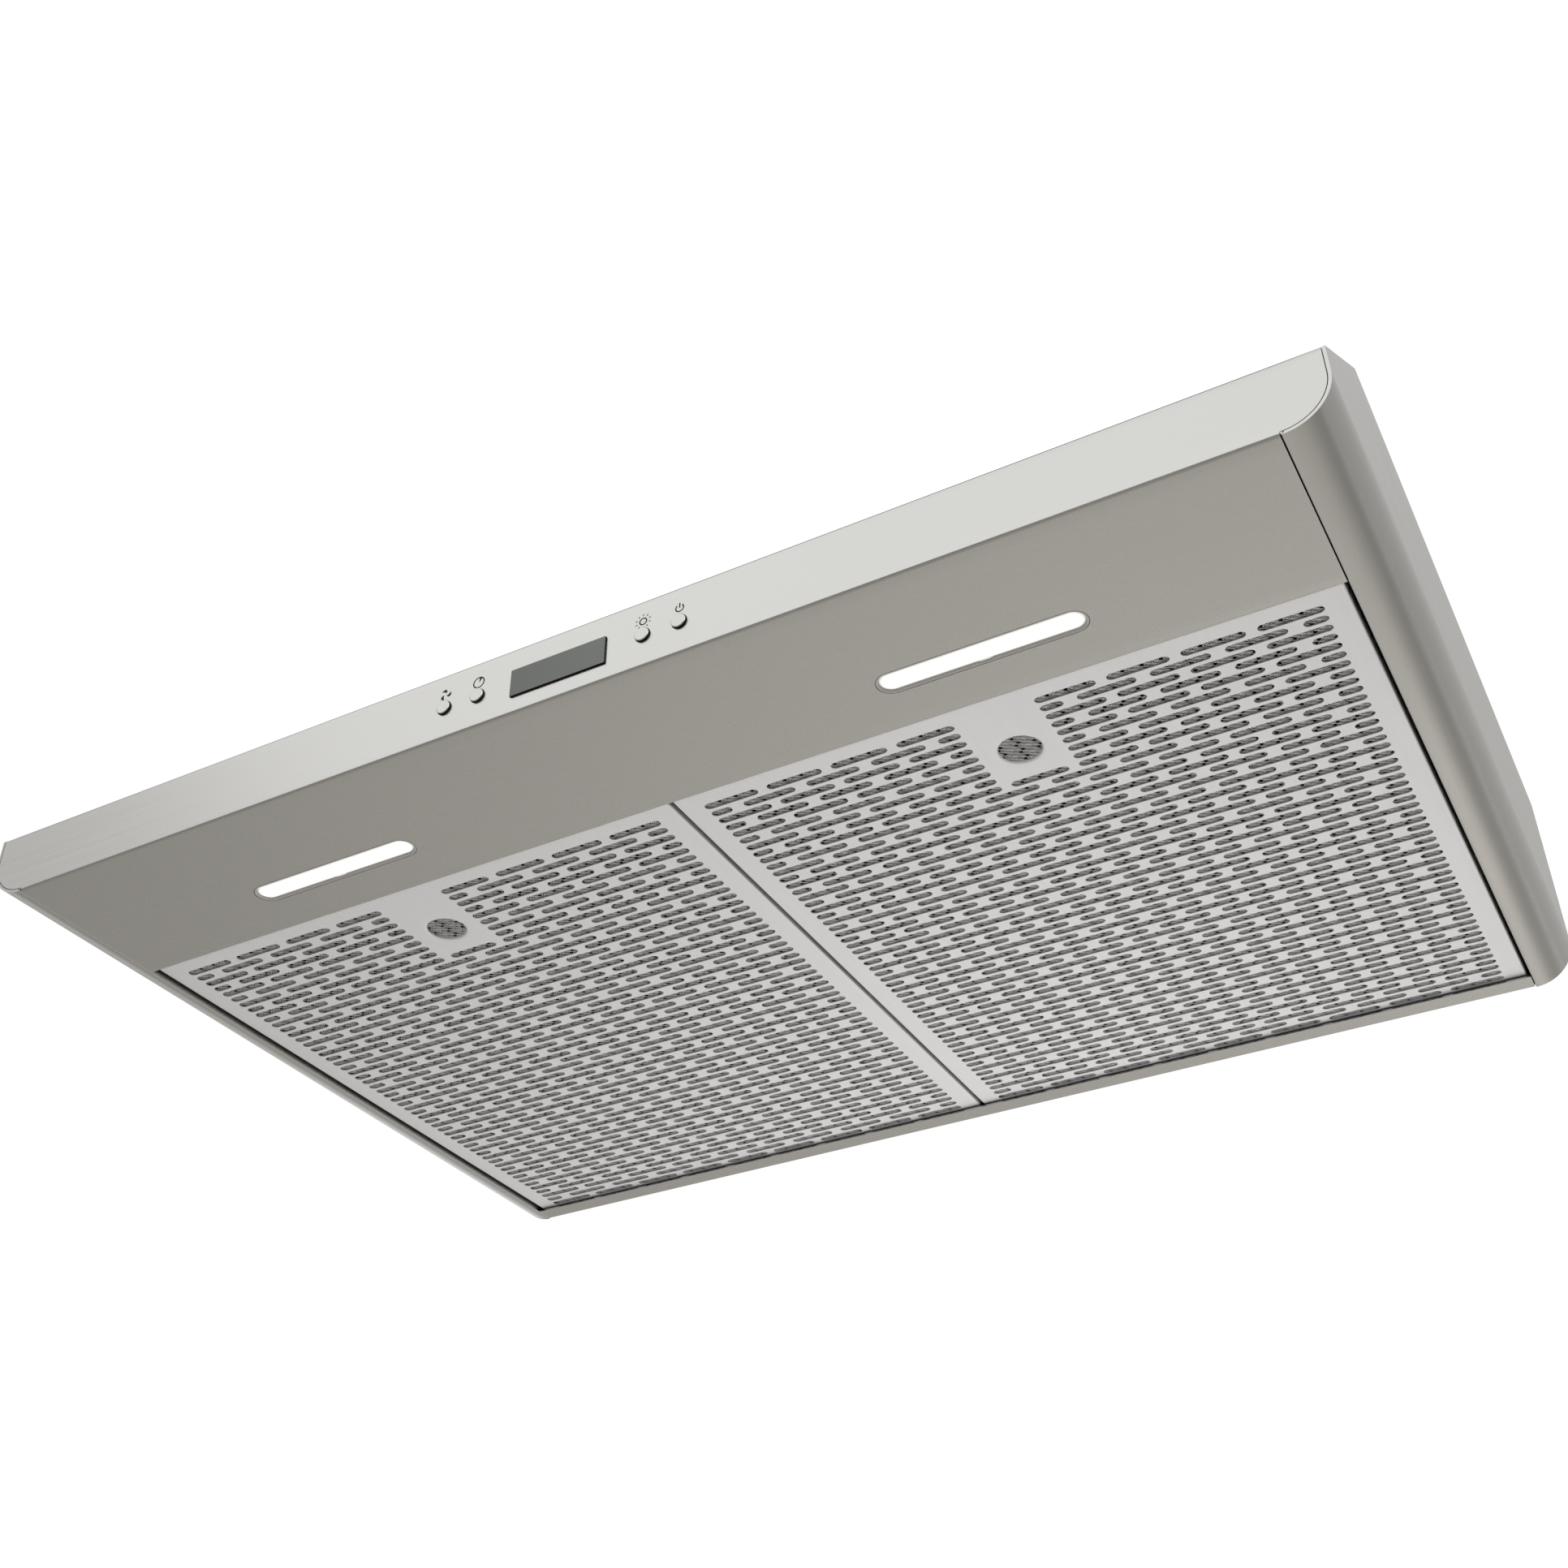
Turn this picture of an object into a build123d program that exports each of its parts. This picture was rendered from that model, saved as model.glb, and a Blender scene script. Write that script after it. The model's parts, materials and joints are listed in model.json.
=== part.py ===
"""Under-cabinet range hood, nominal 30 inch wide, low profile, two mesh filters, twin blower.

Frame: millimetres, +Z up, +X to the right seen from the front, front towards -Y.
The origin is the centre of the footprint, on the plane of the hood's underside.
Depths are measured from the front face towards the wall, through back_from_front().
"""

from build123d import *
import math
import os

# ---- Casing ----
WIDTH = 759.0
DEPTH = 514.0
HEIGHT = 124.0
FASCIA_HEIGHT = 40.0
SLOPE_RUN = 101.0
VISOR_DEPTH = 102.6
REAR_RAIL_DEPTH = 14.2
CORNER_RADIUS = 25.0
CAP_SHEET = 1.5
CAP_RETURN = 14.0
SHEET = 1.0
SEAM = 0.4
BUTTON_PROUD = 1.5

FRONT_Y = -(DEPTH - BUTTON_PROUD) / 2
HALF_WIDTH = WIDTH / 2
OPENING_HALF = HALF_WIDTH - CORNER_RADIUS
PANEL_HALF = HALF_WIDTH - CAP_SHEET - SEAM
FRONT_HALF = OPENING_HALF - SEAM
LINING_TOP = HEIGHT - SHEET

# ---- Filters ----
FILTER_RISE = 2.3
FILTER_GAP = 2.6
FILTER_SIDE_GAP = 2.3
FILTER_FRONT = 104.0
FILTER_REAR = 502.0
FILTER_TOP = 12.0
FILTER_SHEET = 0.6
FILTER_WIDTH = OPENING_HALF - FILTER_SIDE_GAP - FILTER_GAP / 2
FILTER_X = FILTER_GAP / 2 + FILTER_WIDTH / 2
MESH_FLOOR = 4.7
MESH_THICKNESS = 6.0
MESH_LAYERS = 3
MESH_LAYER = 0.25
CLIP_X = 110.0

SLOT_ROWS = 53
SLOT_PITCH_Y = 7.306
SLOT_PITCH_X = 36.85
SLOT_WIDTH = 5.0
FULL_SLOT = 31.3
OFFSET_SLOT = 29.9
END_SLOT = 11.9
FIRST_ROW = 116.9
FINGER_ROWS = 8
FINGER_DEPTH = 149.7
FINGER_RADIUS = 11.0
FINGER_LIP = 1.5

# ---- Lights ----
LIGHT_X = 191.0
LIGHT_DEPTH = 68.3
RIM_SIZE = (107.0, 15.5)
LENS_SIZE = (104.0, 12.4)
LENS_FLOOR = 1.0
LENS_SEAT = 2.9
LENS_TAB = (5.0, 0.8)
LAMP_HEIGHT = 14.0

# ---- Controls ----
CONTROL_Z = 19.0
DISPLAY_Z = 18.0
DISPLAY_SIZE = (55.0, 16.4)
DISPLAY_PROUD = 1.0
BUTTON_X = {"fan": -68.3, "timer": -48.0, "light": 48.0, "power": 68.3}
BUTTON_RADIUS = 4.0
BUTTON_TRAVEL = 1.0
STEM_END = 6.0
CARRIER_HALF = 85.0
CARRIER_Z = (5.0, 30.0)
CARRIER_PLATE = (4.0, 5.5)
BOARD_FRONT = 11.5
BOARD_THICKNESS = 1.6

# ---- Blower ----
WHEEL_DEPTH = 335.0
WHEEL_Z = 66.0
WHEEL_RADIUS = 40.0
BLADE_ROOT_RADIUS = 33.0
BLADES = 32
WHEEL_SPAN = (52.0, 112.0)
SCROLL_SPAN = (46.0, 118.0)
SCROLL_RADIUS = 50.0
INLET_RADIUS = 34.0
MOTOR_RADIUS = 38.0
MOTOR_HALF = 30.0
SHAFT_RADIUS = 4.0
SHAFT_HALF = 84.0
BEARING_RADIUS = 8.0

# ---- Duct outlet, for a 3-1/4 x 10 inch duct ----
DUCT_DEPTH = 440.0
DUCT_SIZE = (254.0, 82.5)
COLLAR_SHEET = 1.0
COLLAR_TOP = 151.0
COLLAR_FLANGE = 12.0
DAMPER_Z = 133.0
DAMPER_PIN_RADIUS = 1.5
DAMPER_PIN_DEPTH = DUCT_DEPTH + DUCT_SIZE[1] / 2 - COLLAR_SHEET - 4.5

# ---- Cabinet fixing and wiring ----
KEYHOLE_X = 322.0
KEYHOLE_DEPTHS = (176.0, 476.0)
KEYHOLE_RADIUS = 5.0
KEYHOLE_NECK = 5.0
KNOCKOUT = (-290.0, 215.0)
KNOCKOUT_RADIUS = 11.1
POWER_BOX = (-340.0, -220.0, 150.0, 290.0)
POWER_BOX_FLOOR = 70.0
BACK_OUTLET_Z = 68.0


# ---- Small helpers ----
def back_from_front(depth):
    """Y of a plane the given distance behind the front face."""
    return FRONT_Y + depth


def block(x, depth, z):
    """Box between two x values, two depths and two heights."""
    low = (x[0], back_from_front(depth[0]), z[0])
    size = (x[1] - x[0], depth[1] - depth[0], z[1] - z[0])
    return Pos(*low) * Box(*size, align=(Align.MIN, Align.MIN, Align.MIN))


def rod_x(span, depth, z, radius):
    """Cylinder along X."""
    centre = ((span[0] + span[1]) / 2, back_from_front(depth), z)
    return Pos(*centre) * Rot(0, 90, 0) * Cylinder(radius, span[1] - span[0])


def rod_y(x, depths, z, radius):
    """Cylinder along Y."""
    centre = (x, back_from_front((depths[0] + depths[1]) / 2), z)
    return Pos(*centre) * Rot(90, 0, 0) * Cylinder(radius, depths[1] - depths[0])


def rod_z(x, depth, z, radius):
    """Cylinder along Z."""
    centre = (x, back_from_front(depth), (z[0] + z[1]) / 2)
    return Pos(*centre) * Cylinder(radius, z[1] - z[0])


def along_x(face, span):
    """Extrudes a (depth, height) face along X."""
    placed = Pos(span[0], FRONT_Y, 0) * (Plane.YZ * face)
    return extrude(placed, amount=span[1] - span[0], dir=(1, 0, 0))


def along_y(face, depths):
    """Extrudes an (x, height) face along Y."""
    placed = Pos(0, back_from_front(depths[0]), 0) * (Plane.XZ * face)
    return extrude(placed, amount=depths[1] - depths[0], dir=(0, 1, 0))


def along_z(face, z):
    """Extrudes an (x, depth) face along Z."""
    placed = Pos(0, FRONT_Y, z[0]) * face
    return extrude(placed, amount=z[1] - z[0], dir=(0, 0, 1))


def sheet_face(points, thickness, bends):
    """Section of a bent sheet: one skin follows points, the other lies to the left of the path.

    A negative thickness puts the sheet to the right. bends holds the inner radius of each corner.
    """
    path = [Vector(*p) for p in points]
    side = math.copysign(1.0, thickness)
    steps = [(b - a).normalized() for a, b in zip(path, path[1:])]
    normals = [Vector(-s.Y, s.X) * side for s in steps]
    offset = [path[0] + normals[0] * abs(thickness)]
    near, far = [], []
    for corner, (a, b, bend) in enumerate(zip(normals, normals[1:], bends), start=1):
        mitre = (a + b) * (abs(thickness) / (1 + a.dot(b)))
        offset.append(path[corner] + mitre)
        turns_in = steps[corner - 1].cross(steps[corner]).Z * side > 0
        near.append(bend + abs(thickness) if turns_in else bend)
        far.append(bend if turns_in else bend + abs(thickness))
    offset.append(path[-1] + normals[-1] * abs(thickness))
    skins = [FilletPolyline(*path, radius=near), FilletPolyline(*offset, radius=far)]
    ends = [Line(path[0], offset[0]), Line(path[-1], offset[-1])]
    return make_face(skins + ends)


def capsule(size):
    """Slot outline with round ends; size is overall length and width."""
    return SlotOverall(size[0], size[1])


def mirror_pair(name, right):
    """Saves a part of the right side and its mirror image."""
    save(name + "_right", right)
    save(name + "_left", mirror(right, about=Plane.YZ))


def group(shapes):
    """Several separate solids as one node."""
    return Compound([solid for shape in shapes for solid in shape.solids()])


def save(name, shape):
    """Writes one node."""
    solids = shape.solids()
    body = solids[0] if len(solids) == 1 else Compound(solids)
    body.label = name
    export_step(body, os.path.join("parts", name + ".step"))


def pan_screw(x, depth, top, length, radius, down=True):
    """Pan-head screw along Z; top is the plane that its head bears on."""
    sign = 1 if down else -1
    shank = sorted((top, top - sign * length))
    head = sorted((top, top + sign * radius))
    return rod_z(x, depth, shank, radius) + rod_z(x, depth, head, radius * 2)


# ---- Casing ----
def side_silhouette():
    """Outline of the hood seen from the side, in (depth, height)."""
    points = [(0, 0), (DEPTH, 0), (DEPTH, HEIGHT), (SLOPE_RUN, HEIGHT), (0, FASCIA_HEIGHT)]
    return make_face(Polyline(*points, close=True))


def cap_rivet_places():
    return [(PANEL_HALF - 9.0, depth) for depth in (140.0, 300.0, 460.0)]


def end_cap():
    """Rounded side: wall, quarter-round corner, bottom edge with a return into the opening."""
    centre = Pos(OPENING_HALF, CORNER_RADIUS)
    low = (Align.MIN, Align.MIN)
    section = centre * ((Circle(CORNER_RADIUS) - Circle(CORNER_RADIUS - CAP_SHEET))
                        & Rectangle(CORNER_RADIUS, CORNER_RADIUS, align=(Align.MIN, Align.MAX)))
    section += Pos(HALF_WIDTH - CAP_SHEET, CORNER_RADIUS) * Rectangle(
        CAP_SHEET, HEIGHT - CORNER_RADIUS, align=low)
    section += Pos(OPENING_HALF, 0.1) * Rectangle(CAP_SHEET, CAP_RETURN, align=low)
    wall = along_y(section, (0, DEPTH))
    hood = along_x(side_silhouette(), (0, HALF_WIDTH + 1))
    shelf = block((PANEL_HALF - 18, HALF_WIDTH - 0.5), (SLOPE_RUN + 16, DEPTH - 20),
                  (LINING_TOP - CAP_SHEET, LINING_TOP))
    cap = (wall & hood) + shelf
    for x, depth in cap_rivet_places():
        cap -= rod_z(x, depth, (HEIGHT - 4, HEIGHT), 1.7)
    for depths in ((-1, SHEET + 0.2), (DEPTH - SHEET - 0.2, DEPTH + 1)):
        cap -= block((OPENING_HALF - 1, OPENING_HALF + CAP_SHEET + 0.1), depths,
                     (CAP_SHEET + 0.1, CAP_RETURN + 1))
    return cap


def fascia_end():
    """End of the upright face, following the inside of the cap's round corner."""
    radius = CORNER_RADIUS - CAP_SHEET - SEAM
    centre = Pos(OPENING_HALF, CORNER_RADIUS)
    quarter = centre * (Circle(radius) & Rectangle(radius, radius, align=(Align.MIN, Align.MAX)))
    upright = Pos(FRONT_HALF - 1, CORNER_RADIUS) * Rectangle(
        PANEL_HALF - FRONT_HALF + 1, FASCIA_HEIGHT - CORNER_RADIUS, align=(Align.MIN, Align.MIN))
    foot = Pos(FRONT_HALF - 1, CORNER_RADIUS - radius) * Rectangle(
        OPENING_HALF - FRONT_HALF + 1, radius, align=(Align.MIN, Align.MIN))
    return quarter + upright + foot


def front_panel():
    """Upright fascia and level visor, bent from one sheet."""
    path = [(0, FASCIA_HEIGHT), (0, 0), (VISOR_DEPTH, 0), (VISOR_DEPTH, FILTER_TOP)]
    panel = along_x(sheet_face(path, SHEET, [0.8, 0.5]), (-FRONT_HALF, FRONT_HALF))
    end = along_y(fascia_end(), (0, SHEET))
    panel = panel + end + mirror(end, about=Plane.YZ)
    window = Pos(0, DISPLAY_Z) * Rectangle(DISPLAY_SIZE[0] + 0.3, DISPLAY_SIZE[1] + 0.3)
    holes = [Pos(x, CONTROL_Z) * Circle(BUTTON_RADIUS + 0.25) for x in BUTTON_X.values()]
    panel -= along_y(Sketch() + [window] + holes, (-1, SHEET + 1))
    for side in (-1, 1):
        light = capsule((RIM_SIZE[0] + 0.4, RIM_SIZE[1] + 0.4))
        panel -= along_z(Pos(side * LIGHT_X, LIGHT_DEPTH) * light, (-1, SHEET + 1))
    return panel


def sloped_front_panel():
    """Upper front, leaning back from the fascia to the top, with a flange at each end."""
    rise = (HEIGHT - FASCIA_HEIGHT) / SLOPE_RUN
    start = FASCIA_HEIGHT + SHEET * rise
    finish = (LINING_TOP - FASCIA_HEIGHT) / rise
    path = [(SHEET, 31), (SHEET, start), (finish, LINING_TOP), (finish + 15, LINING_TOP)]
    return along_x(sheet_face(path, -SHEET, [0.8, 0.8]), (-PANEL_HALF, PANEL_HALF))


def keyhole(x, depth):
    """Round entry with a narrower neck towards the wall."""
    neck = Pos(0, KEYHOLE_RADIUS + 2) * Rectangle(KEYHOLE_NECK, 2 * KEYHOLE_RADIUS)
    return Pos(x, depth) * (Circle(KEYHOLE_RADIUS) + neck)


def top_panel():
    """Flat top: keyholes for the cabinet, wiring knockout and the two blower outlets."""
    panel = block((-PANEL_HALF, PANEL_HALF), (SLOPE_RUN, DEPTH), (LINING_TOP, HEIGHT))
    span = SCROLL_SPAN[1] - SCROLL_SPAN[0]
    cuts = [Pos(*KNOCKOUT) * Circle(KNOCKOUT_RADIUS)]
    for side in (-1, 1):
        middle = side * (SCROLL_SPAN[0] + SCROLL_SPAN[1]) / 2
        cuts.append(Pos(middle, DUCT_DEPTH) * Rectangle(span, DUCT_SIZE[1]))
        cuts += [keyhole(side * KEYHOLE_X, depth) for depth in KEYHOLE_DEPTHS]
        cuts += [Pos(side * x, depth) * Circle(1.7) for x, depth in cap_rivet_places()]
    cuts += [Pos(x, depth) * Circle(2.1) for x, depth in blower_screw_places()]
    cuts += [Pos(x, depth) * Circle(2.1) for x, depth in collar_screw_places()]
    return panel - along_z(Sketch() + cuts, (LINING_TOP - 1, HEIGHT + 1))


def back_panel():
    """Back, turned forward at the bottom into the rear rail and at the top under the top panel."""
    path = [(DEPTH - REAR_RAIL_DEPTH, 0), (DEPTH, 0), (DEPTH, LINING_TOP), (DEPTH - 15, LINING_TOP)]
    panel = along_x(sheet_face(path, SHEET, [0.6, 0.6]), (-FRONT_HALF, FRONT_HALF))
    end = along_y(fascia_end(), (DEPTH - SHEET, DEPTH))
    wing = block((FRONT_HALF - 1, PANEL_HALF), (DEPTH - SHEET, DEPTH), (FASCIA_HEIGHT - 1, LINING_TOP))
    end += wing
    panel = panel + end + mirror(end, about=Plane.YZ)
    outlet = Pos(0, BACK_OUTLET_Z) * Rectangle(DUCT_SIZE[0] - 10, DUCT_SIZE[1] - 10)
    screws = [Pos(x, z) * Circle(1.7) for x, z in back_screw_places()]
    return panel - along_y(Sketch() + [outlet] + screws, (DEPTH - 3, DEPTH + 1))


def back_screw_places():
    return [(sx * (DUCT_SIZE[0] / 2 + 4), BACK_OUTLET_Z + sz * 28.0) for sx in (-1, 1) for sz in (-1, 1)]


def rear_outlet_cover():
    """Plate that closes the horizontal outlet in the back."""
    face = Pos(0, BACK_OUTLET_Z) * RectangleRounded(DUCT_SIZE[0] + 22, DUCT_SIZE[1] + 6, 3)
    face -= Sketch() + [Pos(x, z) * Circle(1.7) for x, z in back_screw_places()]
    return along_y(face, (DEPTH - 2 * SHEET, DEPTH - SHEET))


def rear_cover_screws():
    """Screws that hold the plate from inside."""
    screws = []
    for x, z in back_screw_places():
        shank = rod_y(x, (DEPTH - 2 * SHEET, DEPTH), z, 1.5)
        screws.append(shank + rod_y(x, (DEPTH - 2 * SHEET - 1.8, DEPTH - 2 * SHEET), z, 3.2))
    return group(screws)


def cap_rivets():
    """Rivets through the top panel and the shelf of each end cap."""
    rivets = []
    for side in (-1, 1):
        for x, depth in cap_rivet_places():
            shank = rod_z(side * x, depth, (LINING_TOP - CAP_SHEET, HEIGHT), 1.6)
            head = rod_z(side * x, depth, (LINING_TOP - CAP_SHEET - 1.2, LINING_TOP - CAP_SHEET), 3.4)
            rivets.append(shank + head)
    return group(rivets)


def filter_centre_rail():
    """Hat-section rail over the gap between the filters, from the visor to the back."""
    hat = [(-14, 14), (-7, 14), (-7, 22), (7, 22), (7, 14), (14, 14)]
    front, rear = VISOR_DEPTH + 0.4, DEPTH - SHEET - 0.1
    rail = along_y(sheet_face(hat, SHEET, [0.5] * 4), (front, rear))
    hook = block((-6, 6), (VISOR_DEPTH, VISOR_DEPTH + 0.8), (7, 16))
    bridge = block((-6, 6), (VISOR_DEPTH, VISOR_DEPTH + 3), (15, 16))
    return rail + hook + bridge + block((-7.5, 7.5), (VISOR_DEPTH, VISOR_DEPTH + 3), (15, 23))


# ---- Filters ----
def slot_row(row):
    """Slots of one row as (x, length), about the filter's centre line."""
    full = [(k * SLOT_PITCH_X, FULL_SLOT) for k in range(-4, 5)]
    edge = 4 * SLOT_PITCH_X + (FULL_SLOT - END_SLOT) / 2
    offset = [((k + 0.5) * SLOT_PITCH_X, OFFSET_SLOT) for k in range(-4, 4)]
    offset += [(-edge, END_SLOT), (edge, END_SLOT)]
    if row >= FINGER_ROWS:
        return offset if row % 2 else full
    if row % 2 == 0:
        return [slot for slot in full if slot[0] != 0]
    inner = SLOT_PITCH_X - (FULL_SLOT - END_SLOT) / 2
    wide = [slot for slot in offset if abs(slot[0]) > SLOT_PITCH_X]
    return wide + [(-inner, END_SLOT), (inner, END_SLOT)]


def filter_face():
    """Perforated pan: slotted sheet with a formed finger hole and four upturned walls."""
    front, rear = FILTER_FRONT, FILTER_REAR
    middle = (front + rear) / 2
    size = (FILTER_WIDTH, rear - front)
    sheet = Rectangle(*size).face()
    slots = []
    for row in range(SLOT_ROWS):
        depth = FIRST_ROW + row * SLOT_PITCH_Y - middle
        for x, length in slot_row(row):
            slots.append(Pos(x, depth) * SlotOverall(length, SLOT_WIDTH).face())
    collar_radius = FINGER_RADIUS + FINGER_LIP
    slots.append(Pos(0, FINGER_DEPTH - middle) * Circle(collar_radius).face())
    sheet = Face(sheet.outer_wire(), [slot.outer_wire() for slot in slots])
    pan = extrude(Pos(FILTER_X, back_from_front(middle), FILTER_RISE) * sheet, amount=FILTER_SHEET,
                  dir=(0, 0, 1))
    outer = Rectangle(*size)
    inner = Rectangle(size[0] - 2 * FILTER_SHEET, size[1] - 2 * FILTER_SHEET)
    walls = Pos(FILTER_X, middle) * (outer - inner)
    return pan + along_z(walls, (FILTER_RISE, FILTER_TOP)) + finger_collar()


def finger_collar():
    """Rolled lip of the finger hole, turning up into the filter."""
    mid = Vector(FINGER_RADIUS + FINGER_LIP, FINGER_LIP)
    turn = [mid + Vector(math.cos(a), math.sin(a)) * FINGER_LIP
            for a in (math.radians(180), math.radians(225), math.radians(270))]
    inner_r = FINGER_LIP - FILTER_SHEET
    back = [mid + Vector(math.cos(a), math.sin(a)) * inner_r
            for a in (math.radians(270), math.radians(225), math.radians(180))]
    edges = [ThreePointArc(*turn), Line(turn[2], back[0]), ThreePointArc(*back), Line(back[2], turn[0])]
    ring = revolve(Plane.XZ * make_face(edges), axis=Axis.Z)
    return Pos(FILTER_X, back_from_front(FINGER_DEPTH), FILTER_RISE) * ring


def filter_inside(clearance):
    """Plan outline of the space inside the pan's walls."""
    width = FILTER_WIDTH - 2 * FILTER_SHEET - 2 * clearance
    length = FILTER_REAR - FILTER_FRONT - 2 * FILTER_SHEET - 2 * clearance
    return Pos(FILTER_X, (FILTER_FRONT + FILTER_REAR) / 2) * Rectangle(width, length)


def filter_mesh():
    """Layers of expanded aluminium mesh, each as a thin sheet of its outer size."""
    step = (MESH_THICKNESS - MESH_LAYER) / (MESH_LAYERS - 1)
    floors = [MESH_FLOOR + k * step for k in range(MESH_LAYERS)]
    return group([along_z(filter_inside(0.3), (floor, floor + MESH_LAYER)) for floor in floors])


def filter_back():
    """Upper sheet of the filter, a grid of large windows that holds the mesh in."""
    window = (48.0, 46.0)
    pitch = (56.0, 55.0)
    middle = (FILTER_FRONT + FILTER_REAR) / 2
    places = [(FILTER_X + (i - 2.5) * pitch[0], middle + (k - 3) * pitch[1]) for i in range(6) for k in range(7)]
    grid = Sketch() + [Pos(*place) * Rectangle(*window) for place in places]
    floor = MESH_FLOOR + MESH_THICKNESS
    return along_z(filter_inside(0.1) - grid, (floor, floor + FILTER_SHEET))


def filter_clips():
    """Two hooks that lie over the rear rail and two sprung catches at the front."""
    clips = []
    for side in (-1, 1):
        span = (FILTER_X + side * CLIP_X - 15, FILTER_X + side * CLIP_X + 15)
        upright = block(span, (FILTER_REAR, FILTER_REAR + 0.6), (SHEET + 0.3, 9))
        foot = block(span, (FILTER_REAR, FILTER_REAR + 5), (SHEET + 0.3, SHEET + 1.1))
        clips.append(upright + foot)
        leaf = block(span, (FILTER_FRONT - 0.5, FILTER_FRONT), (3.5, 11))
        bump = rod_x(span, FILTER_FRONT - 0.5, 7.0, 0.6)
        clips.append(leaf + (bump & block(span, (FILTER_FRONT - 2, FILTER_FRONT - 0.2), (0, 12))))
    return group(clips)


# ---- Lights ----
def lens_outline(clearance):
    """Round-ended lens with a finger tab in the middle of its rear side."""
    tab = Pos(0, (LENS_SIZE[1] + LENS_TAB[1]) / 2) * Rectangle(
        LENS_TAB[0] + 2 * clearance, LENS_TAB[1] + 2 * clearance)
    root = Pos(0, LENS_SIZE[1] / 2 - 1) * Rectangle(LENS_TAB[0] + 2 * clearance, 2)
    return capsule((LENS_SIZE[0] + 2 * clearance, LENS_SIZE[1] + 2 * clearance)) + tab + root


def light_housing():
    """Moulded lamp body: flush rim, seat for the lens, flange above the visor and a closed back."""
    body = along_z(capsule(RIM_SIZE), (0, LAMP_HEIGHT))
    body += along_z(capsule((RIM_SIZE[0] + 5, RIM_SIZE[1] + 5)), (SHEET, SHEET + 1.5))
    body -= along_z(lens_outline(0.1), (-1, LENS_SEAT))
    body -= along_z(capsule((LENS_SIZE[0] - 3, LENS_SIZE[1] - 2.4)), (2, LAMP_HEIGHT - 1.2))
    return Pos(LIGHT_X, LIGHT_DEPTH, 0) * body


def light_lens():
    """Frosted light cover, sunk a little into the rim."""
    return Pos(LIGHT_X, LIGHT_DEPTH, 0) * along_z(lens_outline(0), (LENS_FLOOR, LENS_SEAT))


def led_board():
    """Strip of emitters under the back of the lamp body."""
    top = LAMP_HEIGHT - 1.2
    board = along_z(Rectangle(88, 8), (top - 1.2, top))
    chips = [along_z(Pos(8.0 * k, 0) * Rectangle(3, 3), (top - 2.2, top - 1.2)) for k in range(-5, 6)]
    return Pos(LIGHT_X, LIGHT_DEPTH, 0) * group([board] + chips)


# ---- Controls ----
def display_window():
    """Smoked window, proud of the fascia, with a flange behind it."""
    pane = Pos(0, DISPLAY_Z) * Rectangle(*DISPLAY_SIZE)
    flange = Pos(0, DISPLAY_Z) * Rectangle(DISPLAY_SIZE[0] + 3, DISPLAY_SIZE[1] + 2)
    return along_y(pane, (-DISPLAY_PROUD, SHEET)) + along_y(flange, (SHEET, SHEET + 1))


def display_module():
    """Liquid crystal module between the window and the board."""
    return along_y(Pos(0, DISPLAY_Z) * Rectangle(56, 17), (SHEET + 1, BOARD_FRONT))


def button(x):
    """Round cap with a retaining flange and a stem that reaches for its switch."""
    cap = rod_y(x, (-BUTTON_PROUD, 1.3), CONTROL_Z, BUTTON_RADIUS)
    rim = cap.edges().filter_by(GeomType.CIRCLE).sort_by(Axis.Y)[0]
    flange = rod_y(x, (1.3, 2.3), CONTROL_Z, BUTTON_RADIUS + 1)
    return fillet(rim, 0.5) + flange + rod_y(x, (2.0, STEM_END), CONTROL_Z, 2)


def control_carrier():
    """Moulded frame behind the fascia that guides the buttons and holds the board."""
    low, high = CARRIER_Z
    middle = (low + high) / 2
    plate = Pos(0, middle) * Rectangle(2 * CARRIER_HALF, high - low)
    rim = plate - Pos(0, middle) * Rectangle(2 * CARRIER_HALF - 4, high - low - 4)
    opening = Pos(0, DISPLAY_Z) * Rectangle(59.2, 19)
    guides = [Pos(x, CONTROL_Z) * Circle(2.3) for x in BUTTON_X.values()]
    carrier = along_y(rim, (SHEET, CARRIER_PLATE[1]))
    carrier += along_y(plate - (Sketch() + [opening] + guides), CARRIER_PLATE)
    for x, z in board_screw_places():
        post = Pos(x, z) * (Circle(3) - Circle(1.3))
        carrier += along_y(post, (CARRIER_PLATE[1], BOARD_FRONT))
    return carrier


def board_screw_places():
    return [(sx * (CARRIER_HALF - 5), z) for sx in (-1, 1) for z in (CARRIER_Z[0] + 4.5, CARRIER_Z[1] - 4.5)]


def control_board():
    """Printed circuit board behind the carrier."""
    low, high = CARRIER_Z
    board = Pos(0, (low + high) / 2) * Rectangle(2 * CARRIER_HALF - 2, high - low - 2)
    board -= Sketch() + [Pos(x, z) * Circle(1.5) for x, z in board_screw_places()]
    return along_y(board, (BOARD_FRONT, BOARD_FRONT + BOARD_THICKNESS))


def tact_switches():
    """One push switch behind each button, its plunger just short of the stem."""
    switches = []
    for x in BUTTON_X.values():
        body = along_y(Pos(x, CONTROL_Z) * Rectangle(6, 6), (8.0, BOARD_FRONT))
        switches.append(body + rod_y(x, (STEM_END + BUTTON_TRAVEL + 0.1, 8.5), CONTROL_Z, 1.7))
    return group(switches)


def control_cover():
    """Rear cover that keeps grease off the board."""
    low, high = CARRIER_Z[0] - 0.3, CARRIER_Z[1] + 0.3
    half = CARRIER_HALF + 0.3
    wall = 1.5
    middle = (low + high) / 2
    outside = Pos(0, middle) * Rectangle(2 * (half + wall), high - low + 2 * wall)
    inside = Pos(0, middle) * Rectangle(2 * half, high - low)
    cable = Pos(-60, middle) * Circle(3.5)
    rear = 23.0
    return along_y(outside - inside, (3, rear)) + along_y(outside - cable, (rear, rear + wall))


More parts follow.
